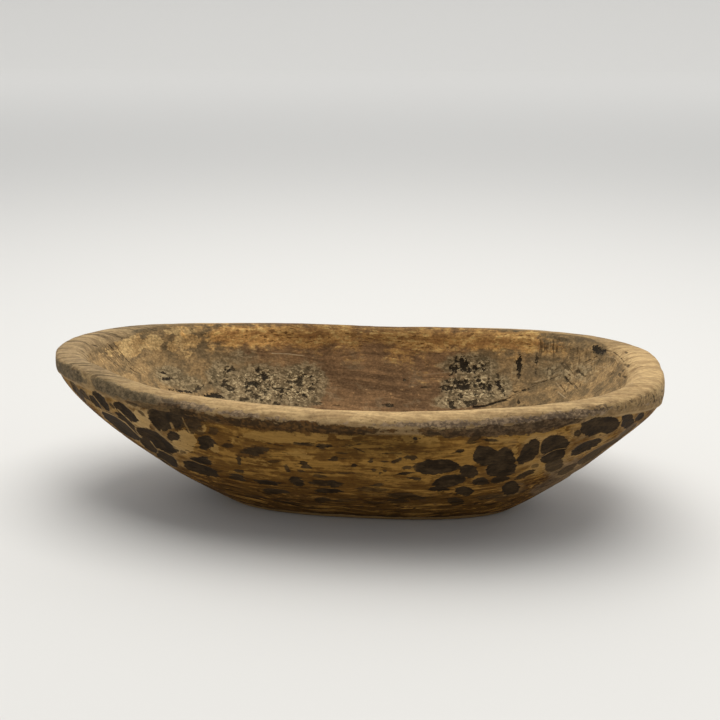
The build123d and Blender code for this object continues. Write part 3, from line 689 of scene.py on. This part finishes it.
def line_channel(name, lines):
    """Corner values: distance across the nearest line and past its end in mm, and its strength."""
    best = np.full(len(sizes), 1e9)
    which = np.full(len(sizes), -1)
    parts = []
    for k, pts in lines:
        spots = [spot(a, p, 0 if p < 0 else (1 if p < 38 else 2)) for a, p in pts]
        for i, (s0, s1) in enumerate(zip(spots, spots[1:])):
            run_len = np.linalg.norm(s1[0] - s0[0])
            ea = (s1[0] - s0[0]) / run_len
            n = unit(s0[3] + s1[3])
            parts.append((s0[0], ea, unit(np.cross(n, ea)), n, run_len, k))
    for q, (p, ea, eb, n, run_len, k) in enumerate(parts):
        d = centre - (p + ea * run_len / 2)
        ok = np.where((np.abs(d) < run_len / 2 + 14).all(1))[0]
        ok = ok[(fn[ok] @ n) > 0.2]
        a, b = d[ok] @ ea, d[ok] @ eb
        gap = np.hypot(np.maximum(np.abs(a) - run_len / 2, 0), b)
        better = gap < best[ok]
        best[ok[better]] = gap[better]
        which[ok[better]] = q
    values = np.full((len(loops), 3), 50.0, np.float32)
    values[:, 2] = 0.0
    lw = which[face_of_loop]
    for q, (p, ea, eb, n, run_len, k) in enumerate(parts):
        sel = np.where(lw == q)[0]
        d = lv[sel] - (p + ea * run_len / 2)
        values[sel, 0] = d @ eb
        values[sel, 1] = np.maximum(np.abs(d @ ea) - run_len / 2, 0)
        values[sel, 2] = k
    mesh.attributes.new(name, "FLOAT_VECTOR", "CORNER").data.foreach_set("vector", values.reshape(-1))


line_channel("crack", LINES)
line_channel("scratch", LIGHTS)
line_channel("ridge", RIDGES)


# ------------------------------------------------------------------ material
wood = bpy.data.materials.new("hewn_wood")
wood.use_nodes = True
tree = wood.node_tree
tree.nodes.clear()


class Val:
    """A node's output, with arithmetic."""

    def __init__(self, socket):
        self.socket = socket

    def __add__(self, o):
        return calc("ADD", self, o)

    __radd__ = __add__

    def __sub__(self, o):
        return calc("SUBTRACT", self, o)

    def __rsub__(self, o):
        return calc("SUBTRACT", o, self)

    def __mul__(self, o):
        return calc("MULTIPLY", self, o)

    __rmul__ = __mul__


def put(socket, a):
    if isinstance(a, Val):
        tree.links.new(a.socket, socket)
    else:
        socket.default_value = a


def calc(op, *args):
    n = tree.nodes.new("ShaderNodeMath")
    n.operation = op
    for i, a in enumerate(args):
        put(n.inputs[i], a)
    return Val(n.outputs[0])


def step(x, lo, hi, a=0.0, b=1.0):
    """Smooth step from a to b as x goes from lo to hi."""
    n = tree.nodes.new("ShaderNodeMapRange")
    n.interpolation_type = "SMOOTHSTEP"
    put(n.inputs["Value"], x)
    for name, v in (("From Min", lo), ("From Max", hi), ("To Min", a), ("To Max", b)):
        put(n.inputs[name], v)
    return Val(n.outputs["Result"])


def hue(r, g, b):
    """A colour given in display values 0 to 255."""
    return tuple((v / 255 / 12.92) if v < 10.3 else ((v / 255 + 0.055) / 1.055) ** 2.4 for v in (r, g, b))


def blend(f, a, b, kind="MIX"):
    n = tree.nodes.new("ShaderNodeMix")
    n.data_type = "RGBA"
    n.blend_type = kind
    put(n.inputs[0], f)
    for socket, c in ((n.inputs[6], a), (n.inputs[7], b)):
        put(socket, c if isinstance(c, Val) else (*c, 1.0))
    return Val(n.outputs[2])


def shade(c, f):
    """A colour made darker or lighter by a number."""
    n = tree.nodes.new("ShaderNodeVectorMath")
    n.operation = "SCALE"
    put(n.inputs[0], c)
    put(n.inputs["Scale"], f)
    return Val(n.outputs[0])


def hue_c(r, g, b):
    return blend(0.0, hue(r, g, b), hue(r, g, b))


def attr(name, kind="Fac"):
    n = tree.nodes.new("ShaderNodeAttribute")
    n.attribute_name = name
    return Val(n.outputs[kind])


def noise(at, per_mm, detail=3.0, rough=0.55, off=0.0, twist=0.0):
    """Noise with the given number of cells per mm along each axis, about -1 to 1."""
    m = tree.nodes.new("ShaderNodeMapping")
    put(m.inputs["Vector"], at)
    m.inputs["Location"].default_value = (off, off * 1.7, off * 2.3)
    m.inputs["Scale"].default_value = [1000 * k for k in per_mm]
    n = tree.nodes.new("ShaderNodeTexNoise")
    tree.links.new(m.outputs[0], n.inputs["Vector"])
    for name, v in (("Scale", 1.0), ("Detail", detail), ("Roughness", rough), ("Distortion", twist)):
        n.inputs[name].default_value = v
    return calc("MULTIPLY_ADD", Val(n.outputs[0]), 3.6, -1.8)


def xyz(v):
    n = tree.nodes.new("ShaderNodeSeparateXYZ")
    put(n.inputs[0], v)
    return [Val(o) for o in n.outputs]


def top(*values):
    out = values[0]
    for v in values[1:]:
        out = calc("MAXIMUM", out, v)
    return out


def low(*values):
    out = values[0]
    for v in values[1:]:
        out = calc("MINIMUM", out, v)
    return out


coords = tree.nodes.new("ShaderNodeTexCoord")
here = Val(coords.outputs["Object"])
px, py, pz = xyz(here)
px, py, pz = px * 1000.0, py * 1000.0, pz * 1000.0

# the grain runs along x and wavers a little
waver = tree.nodes.new("ShaderNodeCombineXYZ")
put(waver.inputs[1], noise(here, (0.008, 0.014, 0.014), 2, 0.5, 3.1) * 0.008)
put(waver.inputs[2], noise(here, (0.008, 0.014, 0.014), 2, 0.5, 8.7) * 0.008)
add = tree.nodes.new("ShaderNodeVectorMath")
add.operation = "ADD"
put(add.inputs[0], here)
tree.links.new(waver.outputs[0], add.inputs[1])
grain_at = Val(add.outputs[0])

fibre = noise(grain_at, (0.022, 0.42, 0.42), 5, 0.62, 1.0)
streak = noise(grain_at, (0.012, 0.16, 0.16), 5, 0.64, 2.0)
broad = noise(grain_at, (0.005, 0.05, 0.05), 3, 0.55, 4.0)
blotch = noise(here, (0.018, 0.026, 0.026), 3, 0.55, 5.0)
mottle = noise(here, (0.07, 0.10, 0.10), 5, 0.66, 6.0)
ragged = noise(here, (0.16, 0.21, 0.21), 4, 0.62, 9.0)
crumb = noise(here, (0.20, 0.28, 0.28), 4, 0.62, 17.0)
speck = noise(here, (0.36, 0.46, 0.46), 3, 0.6, 7.0)
wander = noise(here, (0.055, 0.07, 0.07), 1, 0.4, 41.0)
drift = noise(here, (0.035, 0.05, 0.05), 5, 0.66, 43.0)

prof, rim_left = attr("prof"), attr("rim_left")
out_m, in_m = attr("outside"), attr("inside")
stain, grey, bare, gold, torn_a, chat_a, band_d, face_d = (attr(n) for n in ("stain", "grey", "bare", "gold", "torn", "chatter", "band", "face"))
end_x = calc("ABSOLUTE", px) * (1 / HALF)
left, right, mid_x = step(px, -90.0, -200.0), step(px, 120.0, 240.0), step(calc("ABSOLUTE", px + 30.0), 190.0, 60.0)

hole = noise(here, (0.125, 0.165, 0.145), 5, 0.66, 37.0)
in_cut = step(in_m, 0.3, 0.6)
# cuts: signed distance in mm to the nearest mark, per channel
dark, gap = None, None
for c in range(CHANNELS):
    ua, ub, k = xyz(attr("cut%d" % c, "Vector"))
    w = attr("cut%d_w" % c)
    r = calc("SQRT", ua * ua + ub * ub)
    jag = wander * low(w * 0.35, 1.6) + ragged * low(w * 0.40, 1.5) + speck * low(w * 0.15, 0.5) + (streak * 2.4 + fibre * 1.1) * low(w * 0.45, 1.5) * mid_x + (hole * 1.5 + crumb * 1.3 + speck * 0.6) * low(w * 0.6, 1.8) * in_cut
    d = (r - 1.0) * w + jag
    m = step(d, 0.5, -0.4) * k
    dark = m if dark is None else top(dark, m)
    gap = d if gap is None else low(gap, d)
across_r, past_r, k_r = xyz(attr("ridge", "Vector"))
ridge = step(calc("SQRT", across_r * across_r + past_r * past_r) + ragged * 0.5, k_r * 1.5 + 0.5, k_r * 0.6) * step(k_r, 0.1, 0.3)
bared_ridge = ridge * dark
dark = dark * (1.0 - ridge * 0.9)

across_l, past, k_line = xyz(attr("crack", "Vector"))
line_d = calc("SQRT", across_l * across_l + past * past) + ragged * 0.7
crack = step(line_d, k_line * 0.8 + 0.3, k_line * 0.2 - 0.2) * low(k_line * 0.9, 1.0)
across_s, past_s, k_s = xyz(attr("scratch", "Vector"))
scratch = step(calc("SQRT", across_s * across_s + past_s * past_s) + speck * 0.35, 0.9, 0.2) * k_s

# ---- flank: oiled ochre, streaked along the grain, darker towards the foot
FLANK_LIGHT, FLANK, FLANK_DARK, BROWN = hue(147, 109, 52), hue(104, 72, 30), hue(72, 46, 15), hue(44, 28, 11)
tone = streak * 0.40 + broad * 0.30 + drift * 0.50 + mottle * 0.15
# lower: the flank made darker and browner towards the foot, partly browner wood and partly painted shade
lower = step(prof + blotch * 26.0 + streak * 14.0, -55.0, -135.0)
flank_c = blend(step(tone - lower * 0.2, -0.08, 0.20), FLANK, FLANK_LIGHT)
flank_c = blend(step(tone, -0.15, -0.45) * 0.85, flank_c, FLANK_DARK)
flank_c = blend(lower * 0.36, flank_c, FLANK_DARK)
flank_c = blend(step(streak * 0.6 + fibre * 0.5, 0.06, 0.32) * lower * 0.92, flank_c, hue(174, 129, 64))
thread = noise(grain_at, (0.014, 0.26, 0.26), 5, 0.64, 11.0)
flank_c = blend(step(thread + lower * 0.25 + blotch * 0.2, 0.40, 0.52) * (lower * 0.35 + 0.50), flank_c, BROWN)
flank_c = shade(flank_c, step(fibre, -0.8, 0.8, 0.78, 1.20))
flank_c = shade(flank_c, step(ragged, -0.8, 0.8, 0.86, 1.13))
laid_bare = step(bare * 0.95 + drift * 0.25 + mottle * 0.30 + ragged * 0.25 + streak * mid_x * 0.30, 0.42, 0.52)
flank_c = blend(laid_bare * 0.85, flank_c, shade(blend(left, hue_c(152, 116, 60), hue_c(190, 156, 102)), step(fibre + speck * 0.5, -0.8, 0.8, 0.84, 1.14)))
greyed = step(grey * 0.80 + mottle * 0.30 + streak * 0.30 + ragged * 0.20, 0.36, 0.62)
flank_c = blend(greyed * 0.75, flank_c, shade(hue_c(124, 102, 76), step(fibre + ragged * 0.6, -0.9, 0.9, 0.72, 1.22)))
pit_n = noise(grain_at, (0.06, 0.19, 0.19), 5, 0.64, 13.0)
pits = step(pit_n + drift * 0.35 + lower * 0.08, 0.58, 0.66)
flecks = step(noise(grain_at, (0.10, 0.38, 0.38), 4, 0.62, 15.0) + drift * 0.25, 0.62, 0.72)
flank_c = blend(top(pits, flecks) * 0.88, flank_c, BROWN)
edge = streak * 3.0 + mottle * 3.4 + ragged * 2.4 + drift * 2.2 + speck * 1.0
band = step(band_d + edge, -0.8, 1.6)
dirt = top(step(stain * 0.80 + mottle * 0.30 + streak * 0.28 + ragged * 0.22 + drift * 0.25 + speck * 0.12, 0.44, 0.68), band)
dirt_c = blend(step(ragged + crumb * 0.5 + mottle * 0.4, -0.25, 0.40), hue(48, 32, 16), hue(88, 60, 29))
dirt_c = shade(dirt_c, step(speck + fibre * 0.5, -0.8, 0.8, 0.74, 1.26))
dirt_c = blend(step(px + drift * 30.0, 70.0, 140.0) * 0.65, dirt_c, shade(blend(step(crumb + ragged * 0.5, -0.3, 0.4), hue_c(54, 43, 33), hue_c(94, 78, 60)), step(speck, -0.8, 0.8, 0.76, 1.24)))
flank_c = blend(dirt * 0.92, flank_c, dirt_c)
# a darker patch on the near flank just below the band
darker_patch = step(calc("ABSOLUTE", px - 50.0 + drift * 20.0), 62.0, 20.0) * step(prof + mottle * 4.0 + streak * 4.0, -32.0, -20.0) * step(py, -20.0, -60.0)
flank_c = shade(flank_c, 1.0 - darker_patch * 0.36)
# a pale strip near the foot: worn wood, made lighter still as painted light against the shade by the floor
strip_w = step(pz + ragged * 1.0 + wander * 1.5, 8.4, 6.6)
flank_c = blend(strip_w * 0.75, flank_c, shade(hue_c(170, 138, 92), step(fibre, -0.8, 0.8, 0.8, 1.2)))
flank_c = blend(step(calc("ABSOLUTE", pz - 8.8 + wander * 1.2), 1.4, 0.4) * step(mottle, -0.5, 0.1) * 0.85, flank_c, hue(38, 26, 14))

# the foot: scuffed and dirty underneath
foot_c = blend(step(drift * 0.5 + streak * 0.5 + mottle * 0.3, -0.25, 0.28), hue(98, 72, 41), hue(154, 122, 79))
foot_c = blend(step(blotch * 0.8 + drift * 0.5, 0.10, 0.45) * 0.6, foot_c, hue(66, 47, 27))
foot_c = blend(step(thread, 0.30, 0.45) * 0.6, foot_c, hue(52, 36, 20))
foot_c = shade(foot_c, step(fibre + ragged * 0.6, -0.9, 0.9, 0.78, 1.18))
flank_c = blend(step(pz + ragged * 0.4, 1.6, 0.5) * 0.92, flank_c, foot_c)

# ---- rim: worn pale, with growth lines along the grain and grey handled patches
RIM_LIGHT, RIM_TAN, RIM_DARK = hue(197, 166, 118), hue(160, 131, 91), hue(114, 88, 56)
rim_tone = streak * 0.45 + drift * 0.30 + mottle * 0.30
rim_c = blend(step(rim_tone, -0.38, 0.25), RIM_TAN, RIM_LIGHT)
rings = noise(grain_at, (0.004, 0.15, 0.07), 4, 0.62, 21.0) + noise(grain_at, (0.008, 0.36, 0.2), 4, 0.62, 23.0) * 0.6
at_tip = step(end_x + blotch * 0.08, 0.62, 0.84)
patchy = step(drift + blotch * 0.6, -0.35, 0.25, 0.35, 1.0)
rim_c = blend(step(rings, 0.08, 0.45) * at_tip * patchy * 0.58, rim_c, RIM_DARK)
# the rim top at the left end: greyed by weathering and darkened as painted shade; the right end is made a little darker
# too
at_left = step(px + blotch * 18.0, -185.0, -250.0) * step(prof, 10.0, 20.0)
rim_c = blend(at_left * 0.15, shade(rim_c, 1.0 - at_left * 0.33 - right * 0.13), hue(140, 128, 108))
rim_c = blend(step(rings + streak * 0.4 + mottle * 0.2, 0.0, 0.34) * at_left * patchy * 0.80, rim_c, hue(84, 69, 49))
# painted shade: the rim's upright face made darker towards its lower edge
under = step(prof + mottle * 4.0 + streak * 3.0, 19.0, 6.0)
rim_c = blend(under * 0.38, rim_c, RIM_DARK)
rim_c = shade(rim_c, step(fibre, -0.8, 0.8, 0.82, 1.14))
rim_c = shade(rim_c, step(ragged + speck * 0.8, -0.9, 0.9, 0.82, 1.15))
near_side = step(py, -40.0, -90.0)
rim_c = shade(rim_c, 1.0 - near_side * (step(px + drift * 20.0, -90.0, -165.0) * step(end_x, 0.85, 0.62) * 0.18 + step(px + drift * 20.0, 80.0, 140.0) * step(end_x, 0.85, 0.62) * 0.07 + 0.09))
# the face strip: grey handled wood, its colour darkened further as painted shade on the rim's upright face
face = step(face_d + ragged * 2.6 + mottle * 2.4 + crumb * 1.8 + speck * 1.4 + streak * 1.5, -0.4, 1.4)
purple = step(px + drift * 40.0, -195.0, -110.0)
face_c = blend(step(crumb + ragged * 0.5, -0.3, 0.4), hue(80, 71, 55), hue(120, 103, 78))
face_c = blend(purple, face_c, blend(step(crumb + ragged * 0.6, -0.2, 0.4), hue(86, 73, 63), hue(144, 122, 96)))
face_c = shade(face_c, step(speck + fibre * 0.5, -0.8, 0.8, 0.74, 1.24))
rim_c = blend(face * 0.86, rim_c, face_c)
handled = step(grey * 0.80 + mottle * 0.30 + ragged * 0.25 + streak * 0.22 + speck * 0.15, 0.46, 0.70)
rim_c = blend(handled * 0.80, rim_c, face_c)
smear = step(prof, 3.0, 9.0) * step(prof, 24.0, 13.0)
peck = step(noise(here, (0.24, 0.30, 0.30), 4, 0.62, 47.0) + smear * 0.30 + drift * 0.3 + right * 0.28, 0.74, 0.86)
rim_c = blend(peck * smear * 0.75, rim_c, hue(78, 64, 50))
rim_c = blend(dirt * (0.93 - left * 0.38), rim_c, dirt_c)

# ---- inside: reddish middle, golden top edge, dry grey-brown ends, torn mottled grain
IN_RED, IN_TAN, IN_GREY, IN_DEEP = hue(147, 114, 79), hue(160, 131, 90), hue(118, 99, 71), hue(107, 82, 57)
IN_LIGHT, IN_DARK, IN_BARE = hue(190, 160, 112), hue(72, 58, 40), hue(192, 161, 110)
ends = step(end_x + blotch * 0.16 + mottle * 0.06, 0.30, 0.52)
dry = mottle * 0.45 + drift * 0.45
end_c = blend(step(dry, -0.25, 0.22), IN_GREY, IN_TAN)
end_c = blend(step(crumb * 0.8 + dry * 0.6, 0.38, 0.52) * 0.75, end_c, IN_LIGHT)
end_c = blend(step(ragged * 0.7 + mottle * 0.5 - dry * 0.3, 0.36, 0.52) * 0.75, end_c, IN_DARK)
mid_c = blend(step(streak * 0.50 + blotch * 0.35 + mottle * 0.25, -0.38, 0.32), IN_DEEP, IN_RED)
mid_c = blend(step(drift + mottle * 0.3, 0.15, 0.50) * 0.45, mid_c, hue(138, 118, 90))
mid_c = blend(step(thread, 0.36, 0.60) * 0.36, mid_c, hue(78, 55, 35))
mid_c = blend(step(speck + crumb * 0.5, 0.60, 0.85) * 0.5, mid_c, hue(184, 146, 98))
in_c = blend(ends, mid_c, end_c)
bared = step(bare * 0.95 + drift * 0.25 + mottle * 0.28 + ragged * 0.22 + speck * 0.10, 0.42, 0.50)
bare_c = shade(blend(step(drift + streak * 0.5, -0.3, 0.3), hue(170, 137, 90), IN_BARE), step(speck + fibre * 0.5, -0.8, 0.8, 0.86, 1.12))
in_c = blend(bared * 0.92, in_c, bare_c)
rimmed = step(rim_left, 52.0, -4.0) * step(py, 40.0, 90.0) * step(end_x, 0.85, 0.55)
golden = step(gold * 0.70 + rimmed * 0.50 + mottle * 0.36 + streak * 0.28 + drift * 0.30 + crumb * 0.15, 0.26, 0.80)
gold_c = blend(step(streak * 0.6 + mottle * 0.5, -0.30, 0.25), hue(152, 112, 66), hue(188, 145, 86))
scale = noise(here, (0.10, 0.32, 0.32), 4, 0.62, 57.0)
gold_c = blend(step(scale * 0.9 + mottle * 0.4, 0.22, 0.38) * 0.9, gold_c, hue(208, 172, 108))
gold_c = blend(step(scale * 0.8 - streak * 0.6, -0.32, -0.48) * 0.80, gold_c, hue(92, 60, 32))
in_c = blend(golden * 0.92, in_c, gold_c)
in_c = blend(step(grey * 0.8 + mottle * 0.35 + ragged * 0.25, 0.48, 0.68) * 0.78, in_c, shade(hue_c(88, 75, 55), step(crumb, -0.8, 0.8, 0.8, 1.25)))
chat_n = noise(here, (0.30, 0.045, 0.06), 4, 0.6, 51.0) + noise(here, (0.12, 0.03, 0.03), 2, 0.5, 53.0) * 0.5
chatter = step(chat_n, 0.22, 0.42) * chat_a
in_c = blend(chatter * 0.72, in_c, hue(76, 59, 39))
in_c = blend(step(chat_n, -0.25, -0.5) * chat_a * 0.45, in_c, hue(190, 160, 112))
in_c = shade(in_c, step(fibre, -0.8, 0.8, 0.84, 1.15))
in_c = shade(in_c, step(speck * 0.9 + ragged * 0.6, -0.8, 0.8, 0.74, 1.24))
# painted shade: the inside made darker low in the hollow's right end; the far crest is made darker too
in_c = shade(in_c, 1.0 - right * step(pz, 110.0, 55.0) * 0.28 - step(rim_left + mottle * 5.0, -4.0, -18.0) * step(py, 40.0, 90.0) * 0.32)
# painted light: the golden patches of the far wall made lighter left and right of the middle
gold_painted_light = step(px + drift * 25.0, -80.0, -115.0) * 0.50 + step(px + drift * 25.0, 60.0, 100.0) * 0.28
in_c = shade(in_c, 1.0 + golden * gold_painted_light)
# torn grain: cream flakes and black pits, thinning out round the torn places
flake = noise(here, (0.27, 0.36, 0.36), 3, 0.6, 31.0)
torn_c = shade(blend(step(crumb + mottle * 0.5, -0.3, 0.3), hue(104, 91, 67), hue(156, 137, 104)), step(speck, -0.7, 0.7, 0.76, 1.24))
in_c = blend(step(torn_a + mottle * 0.3 + ragged * 0.15, 0.12, 0.50) * 0.85, in_c, torn_c)
in_c = blend(step(flake + torn_a * 0.95 + mottle * 0.25, 1.10, 1.22) * 0.95, in_c, shade(hue_c(210, 188, 145), step(speck, -0.8, 0.8, 0.85, 1.1)))
holes = step(hole + torn_a * 0.95, 1.24, 1.33)
in_c = blend(holes * 0.95, in_c, hue(44, 39, 30))
pit_c = shade(hue_c(50, 42, 31), step(speck + crumb * 0.5, -0.8, 0.8, 0.7, 1.35))
in_c = blend(dark * in_cut, in_c, pit_c)
in_c = blend(dark * in_cut * step(flake + crumb * 0.5 + torn_a * 0.2, 0.46, 0.60) * 0.75, in_c, hue(158, 138, 104))
in_c = blend(scratch * 0.7, in_c, hue(196, 172, 134))

colour = blend(out_m, rim_c, flank_c)
colour = blend(step(in_m + ragged * 0.22 + mottle * 0.25, 0.35, 0.65), colour, in_c)
near_tip = step(end_x + blotch * 0.10, 0.34, 0.66)
worn = step(gap + ragged * 1.5, 6.5, 0.5) * near_tip * out_m * (left * 0.60 + right * 0.24 + 0.12) * step(drift + blotch * 0.5, -0.40, 0.25, 0.40, 1.0) * (1.0 - band)
colour = blend(worn, colour, shade(hue_c(186, 154, 106), step(fibre, -0.8, 0.8, 0.78, 1.16)))
arris_w = step(calc("ABSOLUTE", prof + 0.3 + wander * 0.8), 3.2, 0.8) * at_tip * (1.0 - band)
colour = blend(arris_w * 0.55, colour, hue(184, 155, 112))
scoop_c = shade(blend(step(mottle + drift * 0.5, -0.4, 0.4), hue(41, 30, 17), hue(63, 49, 32)), step(fibre + speck * 0.6, -0.8, 0.8, 0.70, 1.34))
colour = blend(dark * (1.0 - in_cut), colour, scoop_c)
colour = blend(bared_ridge * out_m * (left * 0.45 + 0.20), colour, shade(hue_c(172, 140, 92), step(speck, -0.8, 0.8, 0.8, 1.15)))
# the dark lines along cracks and cut edges: their dark is painted shade in the grooves
colour = blend(crack, colour, hue(34, 27, 19))
far_rim = step(py, 50.0, 100.0) * step(prof, 6.0, 16.0)
colour = shade(colour, 1.0 - far_rim * (step(rim_left + mottle * 4.0, 2.0, -10.0) * 0.20 + step(rim_left, 16.0, 4.0) * 0.10))

# ---- roughness and relief
rough = step(mottle, -0.7, 0.7, 0.60, 0.78) - dark * 0.06
relief = fibre * 0.07 + streak * 0.10 + speck * 0.07 + mottle * 0.14 + ragged * 0.09
relief = relief + in_m * (step(torn_a, 0.2, 0.8) * (flake * 0.5 - holes * 0.9) + crumb * 0.18 - chatter * 0.35)
relief = relief - dark * 0.5 - crack * 0.9 - pits * out_m * 0.35 - dirt * 0.10 + ridge * out_m * 0.4

bump = tree.nodes.new("ShaderNodeBump")
bump.inputs["Strength"].default_value = 0.85
bump.inputs["Distance"].default_value = 0.001
put(bump.inputs["Height"], relief)
shader = tree.nodes.new("ShaderNodeBsdfPrincipled")
put(shader.inputs["Base Color"], colour)
put(shader.inputs["Roughness"], rough)
shader.inputs["Specular IOR Level"].default_value = 0.06
tree.links.new(bump.outputs[0], shader.inputs["Normal"])
done = tree.nodes.new("ShaderNodeOutputMaterial")
tree.links.new(shader.outputs[0], done.inputs["Surface"])

mesh.materials.append(wood)
skin = bpy.data.objects.new("bowl_skin", mesh)
scene = bpy.context.scene
scene.collection.objects.link(skin)
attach(skin, "root")
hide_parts("bowl")

# ------------------------------------------------------------------ floor, light, camera
floor_mesh = bpy.data.meshes.new("floor")
sweep = [(-14.0, 0.0)] + [(11.0 + 3 * math.sin(a), 3 - 3 * math.cos(a)) for a in np.linspace(0, math.pi / 2, 25)]     # curves up far behind
floor_mesh.from_pydata([(x, y, z) for y, z in sweep for x in (-14, 14)], [], [(2 * k, 2 * k + 1, 2 * k + 3, 2 * k + 2) for k in range(len(sweep) - 1)])
floor_mesh.shade_smooth()
floor = bpy.data.objects.new("floor", floor_mesh)
scene.collection.objects.link(floor)
pale = bpy.data.materials.new("pale_floor")
pale.use_nodes = True
pale.node_tree.nodes["Principled BSDF"].inputs["Base Color"].default_value = (0.64, 0.635, 0.62, 1)
pale.node_tree.nodes["Principled BSDF"].inputs["Roughness"].default_value = 0.9
floor_mesh.materials.append(pale)

world = bpy.data.worlds.new("studio")
world.use_nodes = True
world.node_tree.nodes["Background"].inputs["Color"].default_value = (0.97, 0.985, 1.0, 1)
world.node_tree.nodes["Background"].inputs["Strength"].default_value = 0.45
scene.world = world


def area(name, place_at, aim, size, power, colour_of):
    light = bpy.data.lights.new(name, "AREA")
    light.shape, light.size, light.size_y = "RECTANGLE", size[0], size[1]
    light.energy, light.color = power, colour_of
    o = bpy.data.objects.new(name, light)
    o.location = place_at
    o.rotation_euler = (Vector(aim) - Vector(place_at)).to_track_quat("-Z", "Y").to_euler()
    scene.collection.objects.link(o)


area("overhead", (0.1, 0.2, 2.4), (0.0, 0.0, 0.1), (2.6, 2.0), 60.5, (1.0, 0.975, 0.93))
area("far", (0.0, 9.0, 5.0), (0.0, 9.0, 0.0), (26.0, 12.0), 800.0, (1.0, 0.985, 0.96))

back = Vector((0.1190, -0.9485, 0.2937))
cam = bpy.data.cameras.new("camera")
cam.sensor_width, cam.lens = 36.0, 55.0
cam.clip_start, cam.clip_end = 0.05, 50
eye = bpy.data.objects.new("camera", cam)
eye.location = Vector((149.7, -1115.0, 499.6)) / 1000
eye.rotation_euler = (-back).to_track_quat("-Z", "Y").to_euler()
scene.collection.objects.link(eye)
scene.camera = eye
scene.view_settings.view_transform = "Standard"
